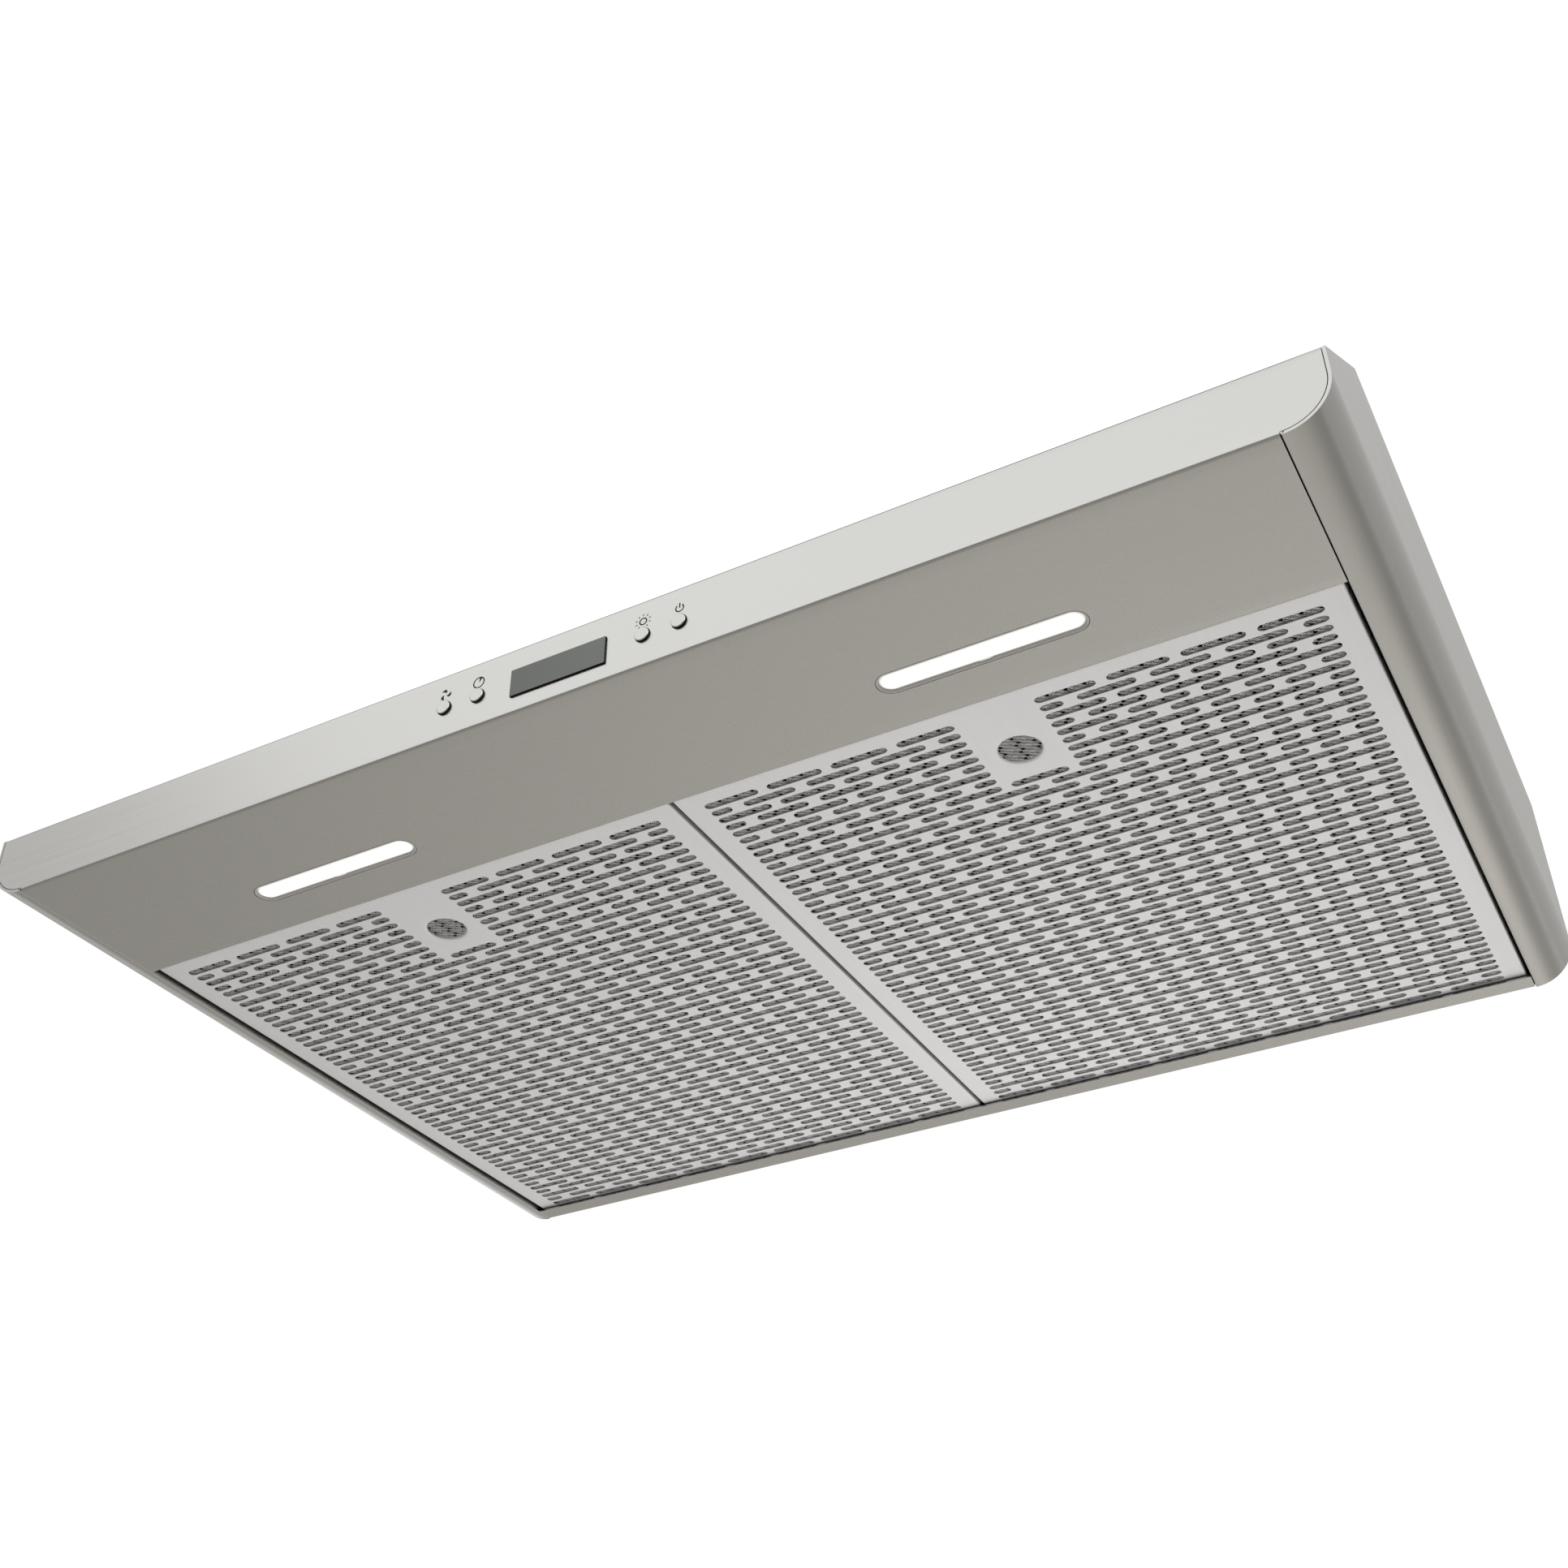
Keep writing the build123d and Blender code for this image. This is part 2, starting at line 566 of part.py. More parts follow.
def board_screws():
    """Screws through the board into the carrier's posts."""
    rear = BOARD_FRONT + BOARD_THICKNESS
    shanks = [(rod_y(x, (rear - 5, rear), z, 1.2), rod_y(x, (rear, rear + 1.6), z, 2.6))
              for x, z in board_screw_places()]
    return group([shank + head for shank, head in shanks])


# ---- Blower ----
def scroll_outline(grow):
    """Snail outline in (depth, height): round chamber, floor channel and rising outlet."""
    front, rear = DUCT_DEPTH - DUCT_SIZE[1] / 2, DUCT_DEPTH + DUCT_SIZE[1] / 2
    floor = WHEEL_Z - SCROLL_RADIUS
    chamber = Pos(WHEEL_DEPTH, WHEEL_Z) * Circle(SCROLL_RADIUS + grow)
    low = (Align.MIN, Align.MIN)
    channel = Pos(WHEEL_DEPTH, floor - grow) * Rectangle(
        rear - WHEEL_DEPTH + grow, SCROLL_RADIUS + 2 * grow, align=low)
    outlet = Pos(front - grow, floor - grow) * Rectangle(
        rear - front + 2 * grow, LINING_TOP - floor + grow, align=low)
    return chamber + channel + outlet


def blower_screw_places():
    return [(side * x, DUCT_DEPTH - DUCT_SIZE[1] / 2 - 7) for side in (-1, 1) for x in (60, 104)]


def blower_scroll():
    """Scroll casing: bent shell with two end plates, open at the inlet, the shaft and the outlet."""
    outer = (SCROLL_SPAN[0] - SHEET, SCROLL_SPAN[1] + SHEET)
    casing = along_x(scroll_outline(SHEET), outer) - along_x(scroll_outline(0), SCROLL_SPAN)
    casing -= rod_x((SCROLL_SPAN[1] - 1, SCROLL_SPAN[1] + 2), WHEEL_DEPTH, WHEEL_Z, INLET_RADIUS + 2)
    casing -= rod_x((SCROLL_SPAN[0] - 2, SCROLL_SPAN[0] + 1), WHEEL_DEPTH, WHEEL_Z, 12)
    front = DUCT_DEPTH - DUCT_SIZE[1] / 2
    flange = block(outer, (front - 14, front - 0.5), (LINING_TOP - SHEET, LINING_TOP))
    for x, depth in blower_screw_places()[2:]:
        flange -= rod_z(x, depth, (LINING_TOP - 3, LINING_TOP + 1), 2.1)
    return casing + flange


def inlet_ring():
    """Bell mouth that leads air into the wheel."""
    plate = SCROLL_SPAN[1] + SHEET
    path = [(plate - 6, INLET_RADIUS), (plate + 1, INLET_RADIUS), (plate + 1, INLET_RADIUS + 9)]
    section = sheet_face(path, -SHEET, [4.0])
    ring = revolve(Plane.XZ * section, axis=Axis.X)
    return Pos(0, back_from_front(WHEEL_DEPTH), WHEEL_Z) * ring


def blade():
    """Section of one forward-curved blade, at the top of the wheel."""
    reach = WHEEL_RADIUS - BLADE_ROOT_RADIUS - 1
    root = BLADE_ROOT_RADIUS + 0.5
    outer = [(-0.4, root), (0.6, root + reach * 0.5), (3.4, root + reach)]
    inner = [(0.4, root), (1.4, root + reach * 0.45), (4.0, root + reach - 0.5)]
    ends = [Line(outer[0], inner[0]), Line(outer[2], inner[2])]
    return make_face([ThreePointArc(*outer), ThreePointArc(*inner)] + ends)


def impeller():
    """Squirrel-cage wheel: back disc with a hub, curved blades and an end ring."""
    start, end = WHEEL_SPAN
    pieces = [along_z(Circle(WHEEL_RADIUS), (0, 1.5)), along_z(Circle(9), (0, 24))]
    pieces.append(along_z(Circle(WHEEL_RADIUS) - Circle(BLADE_ROOT_RADIUS), (end - start - 2, end - start)))
    section = blade()
    for k in range(BLADES):
        pieces.append(along_z(Rot(0, 0, 360 * k / BLADES) * section, (0.5, end - start - 1)))
    wheel = pieces[0] + pieces[1:]
    wheel -= along_z(Circle(SHAFT_RADIUS + 0.02), (-1, 30))
    turned = Rot(0, 90, 0) * (Pos(0, -FRONT_Y, 0) * wheel)
    return Pos(start, back_from_front(WHEEL_DEPTH), WHEEL_Z) * turned


def motor_shaft():
    """Double-ended motor shaft."""
    return rod_x((-SHAFT_HALF, SHAFT_HALF), WHEEL_DEPTH, WHEEL_Z, SHAFT_RADIUS)


def impeller_nuts():
    """Nut at each end of the shaft, against the hubs."""
    nuts = []
    for side in (-1, 1):
        hex_face = RegularPolygon(7.5, 6) - Circle(SHAFT_RADIUS + 0.02)
        nut = Rot(0, 90, 0) * extrude(hex_face, amount=5)
        start = WHEEL_SPAN[0] + 24 if side > 0 else -WHEEL_SPAN[0] - 24 - 5
        nuts.append(Pos(start, back_from_front(WHEEL_DEPTH), WHEEL_Z) * nut)
    return group(nuts)


def motor_body():
    """Motor can with a raised boss at each end."""
    can = rod_x((-MOTOR_HALF, MOTOR_HALF), WHEEL_DEPTH, WHEEL_Z, MOTOR_RADIUS)
    rims = can.edges().filter_by(GeomType.CIRCLE)
    can = fillet(rims, 4)
    can += rod_x((-MOTOR_HALF - 6, MOTOR_HALF + 6), WHEEL_DEPTH, WHEEL_Z, BEARING_RADIUS + 3)
    for end in (-1, 1):
        span = sorted((end * (MOTOR_HALF - 1), end * (MOTOR_HALF + 7)))
        can -= rod_x(span, WHEEL_DEPTH, WHEEL_Z, BEARING_RADIUS)
    return can - rod_x((-50, 50), WHEEL_DEPTH, WHEEL_Z, SHAFT_RADIUS + 1)


def motor_bearings():
    """Bearing in each boss, as one ring."""
    rings = []
    for end in (-1, 1):
        span = sorted((end * (MOTOR_HALF - 1), end * (MOTOR_HALF + 6)))
        ring = rod_x(span, WHEEL_DEPTH, WHEEL_Z, BEARING_RADIUS)
        rings.append(ring - rod_x((-50, 50), WHEEL_DEPTH, WHEEL_Z, SHAFT_RADIUS + 0.05))
    return group(rings)


def motor_bracket():
    """Strap round the motor, hung from the top panel by a bent foot."""
    ring = Pos(WHEEL_DEPTH, WHEEL_Z) * (Circle(MOTOR_RADIUS + 2) - Circle(MOTOR_RADIUS))
    low = (Align.MIN, Align.MIN)
    legs = [Pos(WHEEL_DEPTH + x, WHEEL_Z + MOTOR_RADIUS + 0.5) * Rectangle(
        2, LINING_TOP - WHEEL_Z - MOTOR_RADIUS - 0.5, align=low) for x in (-6, 4)]
    foot = Pos(WHEEL_DEPTH - 24, LINING_TOP - 2) * Rectangle(48, 2, align=low)
    return along_x(ring + legs + foot, (-12, 12))


def blower_screws():
    """Screws from below through the scroll flanges into the top panel."""
    flange = LINING_TOP - SHEET
    return group([pan_screw(x, depth, flange, HEIGHT - flange, 2, down=False)
                  for x, depth in blower_screw_places()])


# ---- Duct outlet ----
def collar_screw_places():
    reach = (DUCT_SIZE[0] / 2 + COLLAR_FLANGE / 2, DUCT_SIZE[1] / 2 + COLLAR_FLANGE / 2)
    return [(sx * reach[0], DUCT_DEPTH + sz * reach[1]) for sx in (-1, 1) for sz in (-1, 1)]


def duct_collar():
    """Rectangular collar with a flange on the top panel, pin holes and stops for the damper."""
    place = Pos(0, DUCT_DEPTH)
    plan = Rectangle(*DUCT_SIZE)
    bore = Rectangle(DUCT_SIZE[0] - 2 * COLLAR_SHEET, DUCT_SIZE[1] - 2 * COLLAR_SHEET)
    rim = Rectangle(DUCT_SIZE[0] + 2 * COLLAR_FLANGE, DUCT_SIZE[1] + 2 * COLLAR_FLANGE)
    collar = along_z(place * (plan - bore), (HEIGHT, COLLAR_TOP))
    collar += along_z(place * (rim - bore), (HEIGHT, HEIGHT + COLLAR_SHEET))
    half = DUCT_SIZE[0] / 2
    front = DUCT_DEPTH - DUCT_SIZE[1] / 2
    for side in (-1, 1):
        span = sorted((side * 40, side * 80))
        collar += block(span, (front + 0.5, front + 6), (DAMPER_Z - 2.2, DAMPER_Z - 1.2))
        hole = sorted((side * (half - 3), side * (half + 3)))
        collar -= rod_x(hole, DAMPER_PIN_DEPTH, DAMPER_Z, DAMPER_PIN_RADIUS + 0.15)
    for x, depth in collar_screw_places():
        collar -= rod_z(x, depth, (HEIGHT - 1, HEIGHT + 3), 2.1)
    return collar


def collar_screws():
    """Screws that fasten the collar to the top panel."""
    top = HEIGHT + COLLAR_SHEET
    return group([pan_screw(x, depth, top, 6, 2) for x, depth in collar_screw_places()])


def damper_flap():
    """Backdraft flap: light plate with rolled knuckles round its pin."""
    half = DUCT_SIZE[0] / 2 - COLLAR_SHEET - 2
    front = DUCT_DEPTH - DUCT_SIZE[1] / 2 + COLLAR_SHEET + 1.5
    flap = block((-half, half), (front, DAMPER_PIN_DEPTH), (DAMPER_Z - 0.5, DAMPER_Z + 0.5))
    flap += rod_x((-half, half), DAMPER_PIN_DEPTH, DAMPER_Z, 3)
    return flap - rod_x((-half - 1, half + 1), DAMPER_PIN_DEPTH, DAMPER_Z, DAMPER_PIN_RADIUS + 0.02)


def damper_pin():
    """Pin across the collar on which the flap swings."""
    half = DUCT_SIZE[0] / 2 - 0.2
    return rod_x((-half, half), DAMPER_PIN_DEPTH, DAMPER_Z, DAMPER_PIN_RADIUS)


# ---- Wiring ----
def power_box():
    """Open-bottomed box under the top panel, round the wiring knockout."""
    x0, x1, d0, d1 = POWER_BOX
    shell = block((x0, x1), (d0, d1), (POWER_BOX_FLOOR, LINING_TOP))
    shell -= block((x0 + 1, x1 - 1), (d0 + 1, d1 - 1), (POWER_BOX_FLOOR - 1, LINING_TOP + 1))
    shell += block((x0, x1), (d0 - 10, d0 + 0.5), (LINING_TOP - 1, LINING_TOP))
    shell += block((x0, x1), (d1 - 0.5, d1 + 10), (LINING_TOP - 1, LINING_TOP))
    return shell - rod_y(-280, (d0 - 2, d0 + 3), 96, 3.5)


def power_box_cover():
    """Removable cover of the box, with a lip inside it."""
    x0, x1, d0, d1 = POWER_BOX
    floor = POWER_BOX_FLOOR
    plate = block((x0 - 1, x1 + 1), (d0 - 1, d1 + 1), (floor - 1, floor))
    rim = block((x0 + 1.2, x1 - 1.2), (d0 + 1.2, d1 - 1.2), (floor - 0.5, floor + 6))
    return plate + (rim - block((x0 + 2.2, x1 - 2.2), (d0 + 2.2, d1 - 2.2), (floor - 2, floor + 7)))


def power_board():
    """Supply board with its transformer and relay, on four feet."""
    base = POWER_BOX_FLOOR + 10
    board = block((-336, -266), (236, 284), (base, base + 1.6))
    board += block((-331, -299), (241, 269), (base + 1.6, base + 28))
    board += block((-291, -273), (241, 256), (base + 1.6, base + 17))
    for x in (-333, -269):
        for depth in (239, 281):
            board += rod_z(x, depth, (POWER_BOX_FLOOR, base), 2)
    return board


def terminal_block():
    """Screw terminals for the house wiring."""
    base = POWER_BOX_FLOOR
    block_body = block((-262, -226), (160, 176), (base, base + 12))
    for k in range(3):
        block_body -= rod_z(-255 + 11 * k, 168, (base + 6, base + 13), 3)
    return block_body


def motor_capacitor():
    """Run capacitor, lying beside the supply board."""
    return rod_y(-242, (200, 248), POWER_BOX_FLOOR + 16, 14)


def ground_screw():
    """Hexagon-headed earthing screw through the top panel's underside into the box flange."""
    x, depth = -232.0, POWER_BOX[2] - 5.0
    head = Pos(x, back_from_front(depth), LINING_TOP - 5) * extrude(RegularPolygon(4.5, 6), amount=4)
    return head


def control_harness():
    """Cable from the power box to the control board, run down behind the sloped front."""
    route = [(-280, POWER_BOX[2] - 1, 96), (-280, 112, 96), (-280, 66, 60),
             (-150, 40, 34), (-60, 40, 17.5), (-60, 16, 17.5)]
    points = [Vector(x, back_from_front(depth), z) for x, depth, z in route]
    path = FilletPolyline(*points, radius=14)
    section = Plane(origin=path @ 0, z_dir=path % 0) * Circle(2.5)
    return sweep(section, path=path)


def lamp_lead():
    """Cable from a lamp body up to the top panel."""
    x, depth = LIGHT_X + 30, LIGHT_DEPTH
    route = [(x, depth, LAMP_HEIGHT), (x, depth, 40), (x, depth + 60, 90), (x, depth + 60, LINING_TOP)]
    points = [Vector(px, back_from_front(py), pz) for px, py, pz in route]
    path = FilletPolyline(*points, radius=16)
    section = Plane(origin=path @ 0, z_dir=path % 0) * Circle(2)
    return sweep(section, path=path)


def build():
    """Writes every node."""
    os.makedirs("parts", exist_ok=True)
    for name, shape in {
        "front_panel": front_panel(), "sloped_front_panel": sloped_front_panel(),
        "top_panel": top_panel(), "back_panel": back_panel(), "cap_rivets": cap_rivets(),
        "filter_centre_rail": filter_centre_rail(), "rear_outlet_cover": rear_outlet_cover(),
        "rear_cover_screws": rear_cover_screws(), "display_window": display_window(),
        "display_module": display_module(), "control_carrier": control_carrier(),
        "control_board": control_board(), "tact_switches": tact_switches(),
        "control_cover": control_cover(), "board_screws": board_screws(),
        "motor_body": motor_body(), "motor_bearings": motor_bearings(),
        "motor_shaft": motor_shaft(), "impeller_nuts": impeller_nuts(),
        "motor_bracket": motor_bracket(), "blower_screws": blower_screws(),
        "duct_collar": duct_collar(), "collar_screws": collar_screws(),
        "damper_flap": damper_flap(), "damper_pin": damper_pin(), "power_box": power_box(),
        "power_box_cover": power_box_cover(), "power_board": power_board(),
        "terminal_block": terminal_block(), "motor_capacitor": motor_capacitor(),
        "ground_screw": ground_screw(), "control_harness": control_harness(),
    }.items():
        save(name, shape)
    for name, x in BUTTON_X.items():
        save("button_" + name, button(x))
    for name, right in {
        "end_cap": end_cap(), "filter_face": filter_face(), "filter_mesh": filter_mesh(),
        "filter_back": filter_back(), "filter_clips": filter_clips(),
        "light_housing": light_housing(), "light_lens": light_lens(), "led_board": led_board(),
        "blower_scroll": blower_scroll(), "inlet_ring": inlet_ring(), "impeller": impeller(),
        "lamp_lead": lamp_lead(),
    }.items():
        mirror_pair(name, right)


build()
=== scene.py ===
"""Visible skins, finishes, camera and stage of a low under-cabinet range hood, built round its fixed frame.

Metres, +Z up, front of the hood towards -Y, origin under the middle of the hood.
"""

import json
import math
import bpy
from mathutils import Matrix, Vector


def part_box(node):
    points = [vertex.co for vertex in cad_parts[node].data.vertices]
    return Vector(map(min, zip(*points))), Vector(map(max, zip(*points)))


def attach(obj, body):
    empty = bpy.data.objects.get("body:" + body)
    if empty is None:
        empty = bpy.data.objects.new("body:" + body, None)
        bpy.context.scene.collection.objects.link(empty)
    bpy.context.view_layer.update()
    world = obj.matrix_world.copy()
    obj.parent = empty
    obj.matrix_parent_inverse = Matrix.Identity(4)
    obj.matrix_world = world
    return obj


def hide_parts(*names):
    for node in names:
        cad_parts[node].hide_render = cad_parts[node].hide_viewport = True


bl_info = {
    "name": "Under-cabinet range hood",
    "version": (1, 0, 0),
    "blender": (4, 5, 0),
    "location": "3D View > Sidebar > Range Hood",
    "description": "Builds the visible skins and finishes of a range hood round its fixed frame",
    "category": "Object",
}

import bmesh
import bpy
import numpy as np
from bpy.props import FloatProperty, FloatVectorProperty, IntProperty, PointerProperty
from mathutils import Matrix, Vector

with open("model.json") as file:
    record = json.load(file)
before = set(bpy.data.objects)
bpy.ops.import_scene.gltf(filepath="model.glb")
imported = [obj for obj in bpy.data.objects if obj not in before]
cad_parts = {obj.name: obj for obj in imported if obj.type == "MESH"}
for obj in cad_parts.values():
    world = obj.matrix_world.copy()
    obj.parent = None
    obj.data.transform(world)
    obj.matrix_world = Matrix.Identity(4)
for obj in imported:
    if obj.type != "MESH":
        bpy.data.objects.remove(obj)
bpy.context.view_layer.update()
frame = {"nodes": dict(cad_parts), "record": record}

MM = 0.001
MERGE = 2e-6

# ---- Places read from the frame ----
HALF_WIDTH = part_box("end_cap_right")[1].x
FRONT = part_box("front_panel")[0].y
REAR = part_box("back_panel")[1].y
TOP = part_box("top_panel")[1].z
FASCIA_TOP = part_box("front_panel")[1].z
FRONT_HALF = 354.1 * MM
VISOR_DEPTH = 102.6 * MM
SLOPE_RUN = 101 * MM
LAMP_DEPTH = 68.3 * MM
BUTTONS = ("fan", "timer", "light", "power")
SIDES = (("left", -1), ("right", 1))
X, Z = 0, 2


def box_middle(node, axis):
    """Middle of a frame node's box along one axis."""
    low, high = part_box(node)
    return (low[axis] + high[axis]) / 2


def box_half(node, axis):
    """Half the size of a frame node's box along one axis."""
    low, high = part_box(node)
    return (high[axis] - low[axis]) / 2


# ---- Settings ----
def size(name, description, millimetres):
    """A length setting, given in millimetres and kept in metres."""
    return FloatProperty(name=name, description=description, default=millimetres * MM, min=0.0,
                         unit="LENGTH", precision=5)


def linear(code):
    """Linear colour of an sRGB hex code."""
    parts = [int(code[k:k + 2], 16) / 255 for k in (1, 3, 5)]
    return tuple(c / 12.92 if c <= 0.04045 else ((c + 0.055) / 1.055) ** 2.4 for c in parts) + (1.0,)


def colour(name, description, code):
    """A colour setting, given as an sRGB hex code."""
    return FloatVectorProperty(name=name, description=description, default=linear(code), size=4,
                               min=0.0, max=1.0, subtype="COLOR")


class HoodCasingSizes(bpy.types.PropertyGroup):
    """Sizes of the bent sheets that show."""

    sheet: size("Sheet", "Thickness of the front sheet", 1.0)
    cap_sheet: size("Cap sheet", "Thickness of an end cap", 1.5)
    seam: size("Seam", "Gap between an end cap and the front sheet", 0.4)
    corner_radius: size("Corner radius", "Radius of the rounded lower side", 25.0)
    cap_return: size("Cap return", "Height of the cap's edge beside the filter", 14.0)
    front_bend: size("Front bend", "Outer radius between the upright face and the visor", 1.8)
    top_hem: size("Top hem", "Outer radius where the upright face turns back at its top", 0.8)
    rear_bend: size("Rear bend", "Outer radius at the rear edge of the visor", 1.5)
    lip_height: size("Lip height", "Height of the visor's rear lip", 12.0)
    edge_break: size("Edge break", "Rounding of the cut sheet edges", 0.25)


class HoodFilterSizes(bpy.types.PropertyGroup):
    """Sizes of the two grease filters."""

    sheet: size("Sheet", "Thickness of the slotted pan", 0.6)
    pitch_across: size("Pitch across", "Distance between slots of one row", 36.85)
    pitch_along: size("Pitch along", "Distance between rows", 7.306)
    slot_width: size("Slot width", "Width of every slot", 5.0)
    full_slot: size("Full slot", "Length of the slots in the even rows", 31.3)
    offset_slot: size("Offset slot", "Length of the slots in the odd rows", 29.9)
    end_slot: size("End slot", "Length of the short slots", 11.9)
    rows: IntProperty(name="Rows", description="Rows of slots", default=53, min=9)
    finger_radius: size("Finger hole", "Clear radius of the finger hole", 11.0)
    finger_lip: size("Finger lip", "Roll radius of the finger hole", 1.5)
    edge_bend: size("Edge bend", "Outer radius where the pan turns up", 1.0)
    mesh_across: size("Mesh pitch across", "Repeat of the expanded mesh from side to side", 9.58)
    mesh_along: size("Mesh pitch along", "Repeat of the expanded mesh from front to rear", 6.0)
    strand: size("Strand", "Width of a fine strand of the mesh", 0.28)
    rib: size("Rib", "Width of a knuckle rib of the mesh", 0.44)
    mesh_rise: size("Mesh rise", "Gap between the pan's sheet and the lowest mesh", 0.2)


class HoodControlSizes(bpy.types.PropertyGroup):
    """Sizes of the lights, the buttons, the display and the symbols."""

    lens_floor: size("Lens floor", "Depth of the lens inside its rim", 1.0)
    lens_width: size("Lens width", "Width of a lens", 12.4)
    rim_width: size("Rim width", "Width of a lamp over its rim", 15.5)
    lamp_length: size("Lamp length", "Length of a lamp over its rim", 107.0)
    button_radius: size("Button radius", "Radius of a button cap", 4.0)
    button_round: size("Button round", "Rounding of a button's front edge", 0.5)
    symbol_height: size("Symbol height", "Height of the symbols' centres", 27.4)
    symbol_line: size("Symbol line", "Width of the symbols' lines", 0.7)


class HoodFinishes(bpy.types.PropertyGroup):
    """Colours of the finishes that show most."""

    stainless: colour("Stainless", "Brushed stainless steel", "#ABABA9")
    aluminium: colour("Aluminium", "Satin aluminium of the filter pans", "#DDDEE2")
    deep_mesh: colour("Deep mesh", "Inner mesh layers, in shade", "#19191B")
    window: colour("Window", "Smoked acrylic of the display", "#454A46")
    floor: colour("Floor", "Studio floor", "#ACA9A4")


class RangeHoodSettings(bpy.types.PropertyGroup):
    """All the settings of the hood."""

    casing: PointerProperty(type=HoodCasingSizes)
    filters: PointerProperty(type=HoodFilterSizes)
    controls: PointerProperty(type=HoodControlSizes)
    finishes: PointerProperty(type=HoodFinishes)


# ---- Grids and patches ----
def grid_faces(rows, columns, wrap=False):
    """Quads of a grid of points, row after row; wrap joins the last column to the first."""
    row = np.arange(rows - 1)[:, None] * columns
    column = np.arange(columns if wrap else columns - 1)[None, :]
    after = (column + 1) % columns
    low, high = row + column, row + after
    return np.stack([low, high, high + columns, low + columns], -1).reshape(-1, 4)


def surface(points, wrap=False, flip=False):
    """Patch of a (rows, columns, 3) array of points."""
    faces = grid_faces(points.shape[0], points.shape[1], wrap)
    return points.reshape(-1, 3), faces[:, ::-1] if flip else faces


def level_patch(plan, **options):
    """Patch of (x, depth) points, all at height zero."""
    return surface(np.concatenate([plan, plan[..., :1] * 0], -1), **options)


def quarter_turn(count, start=0.0):
    """Angles from start to a right angle."""
    return np.linspace(start, math.pi / 2, count)


def repeated_rings(points, places):
    """One closed ring patch copied to every place: the place's offset is added to every point."""
    rows, columns = points.shape[:2]
    moved = points.reshape(1, -1, 3) + places[:, None, :]
    first = np.arange(len(places)) * rows * columns
    faces = (grid_faces(rows, columns, wrap=True)[None] + first[:, None, None]).reshape(-1, 4)
    return moved.reshape(-1, 3), faces[:, ::-1]


def joined(patches):
    """Several patches as one, with a part number for every face."""
    starts = np.cumsum([0] + [len(points) for points, _ in patches])
    points = np.concatenate([points for points, _ in patches])
    faces = np.concatenate([faces + start for (_, faces), start in zip(patches, starts)])
    part = np.concatenate([np.full(len(faces), k) for k, (_, faces) in enumerate(patches)])
    return points, faces, part


def new_piece(name, patches, materials, finish_of=None, smooth=True):
    """Object made of patches whose meeting points are merged.

    finish_of gives each patch its material's number; smooth is one answer for all patches or one for each.
    """
    points, faces, part = joined(patches)
    mesh = bpy.data.meshes.new(name)
    mesh.from_pydata(points, [], faces)
    index = part * 0 if finish_of is None else np.asarray(finish_of)[part]
    mesh.polygons.foreach_set("material_index", index.astype(np.int32))
    mesh.polygons.foreach_set("use_smooth", np.broadcast_to(smooth, len(patches))[part].astype(bool))
    work = bmesh.new()
    work.from_mesh(mesh)
    bmesh.ops.remove_doubles(work, verts=work.verts, dist=MERGE)
    work.to_mesh(mesh)
    work.free()
    piece = bpy.data.objects.new(name, mesh)
    bpy.context.scene.collection.objects.link(piece)
    for material in materials:
        mesh.materials.append(material)
    return piece


def give_wall(piece, thickness):
    """Turns an outer skin into sheet by adding its wall on the inner side."""
    wall = piece.modifiers.new("Wall", "SOLIDIFY")
    wall.thickness = thickness
    wall.offset = -1.0
    wall.use_even_offset = True


def break_edges(piece, width, segments=2):
    """Rounds the edges where faces meet at more than 40 degrees."""
    edge = piece.modifiers.new("Edge break", "BEVEL")
    edge.width = width
    edge.segments = segments
    edge.limit_method = "ANGLE"
    edge.angle_limit = math.radians(40)
    edge.harden_normals = True


def settle(piece, body, slot, *nodes):
    """Puts a piece on its body and hides the frame nodes that it stands for; slot is not used."""
    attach(piece, body)
    if nodes:
        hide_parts(*nodes)


def lattice(low, high, step, fine):
    """Positions from low to high, at most step apart; each (start, end, count) in fine is divided evenly."""
    marks = [(low, low)] + sorted((a, b) for a, b, _ in fine) + [(high, high)]
    gaps = [(a[1], b[0]) for a, b in zip(marks, marks[1:])]
    parts = [np.linspace(a, b, max(1, math.ceil((b - a) / step)) + 1) for a, b in gaps if b > a]
    parts += [np.linspace(a, b, count + 1) for a, b, count in fine]
    every = np.sort(np.concatenate(parts))
    return every[np.concatenate([[True], np.diff(every) > MERGE])]


def cell_rim(across, along):
    """Closed loop of the lattice points round a cell, starting at its low corner."""
    low = np.stack([across[:-1], np.full(len(across) - 1, along[0])], -1)
    right = np.stack([np.full(len(along) - 1, across[-1]), along[:-1]], -1)
    high = np.stack([across[:0:-1], np.full(len(across) - 1, along[-1])], -1)
    left = np.stack([np.full(len(along) - 1, across[0]), along[:0:-1]], -1)
    return np.concatenate([low, right, high, left])


def drawn_in(rim, centre, reach, radius, rings=1):
    """Rings from a cell's rim to a round-ended hole.

    Each rim point moves straight towards the nearest point of the hole's middle line, which is 2 x reach
    long, and stops one radius from it.
    """
    nearest = np.stack([centre[0] + np.clip(rim[:, 0] - centre[0], -reach, reach),
                        np.full(len(rim), centre[1])], -1)
    away = rim - nearest
    edge = nearest + away * (radius / np.linalg.norm(away, axis=1, keepdims=True))
    share = np.linspace(0, 1, rings + 1)[:, None, None]
    return rim + (edge - rim) * share


def inside(values, low, high):
    """Lattice positions from low to high."""
    return values[(values > low - MERGE) & (values < high + MERGE)]


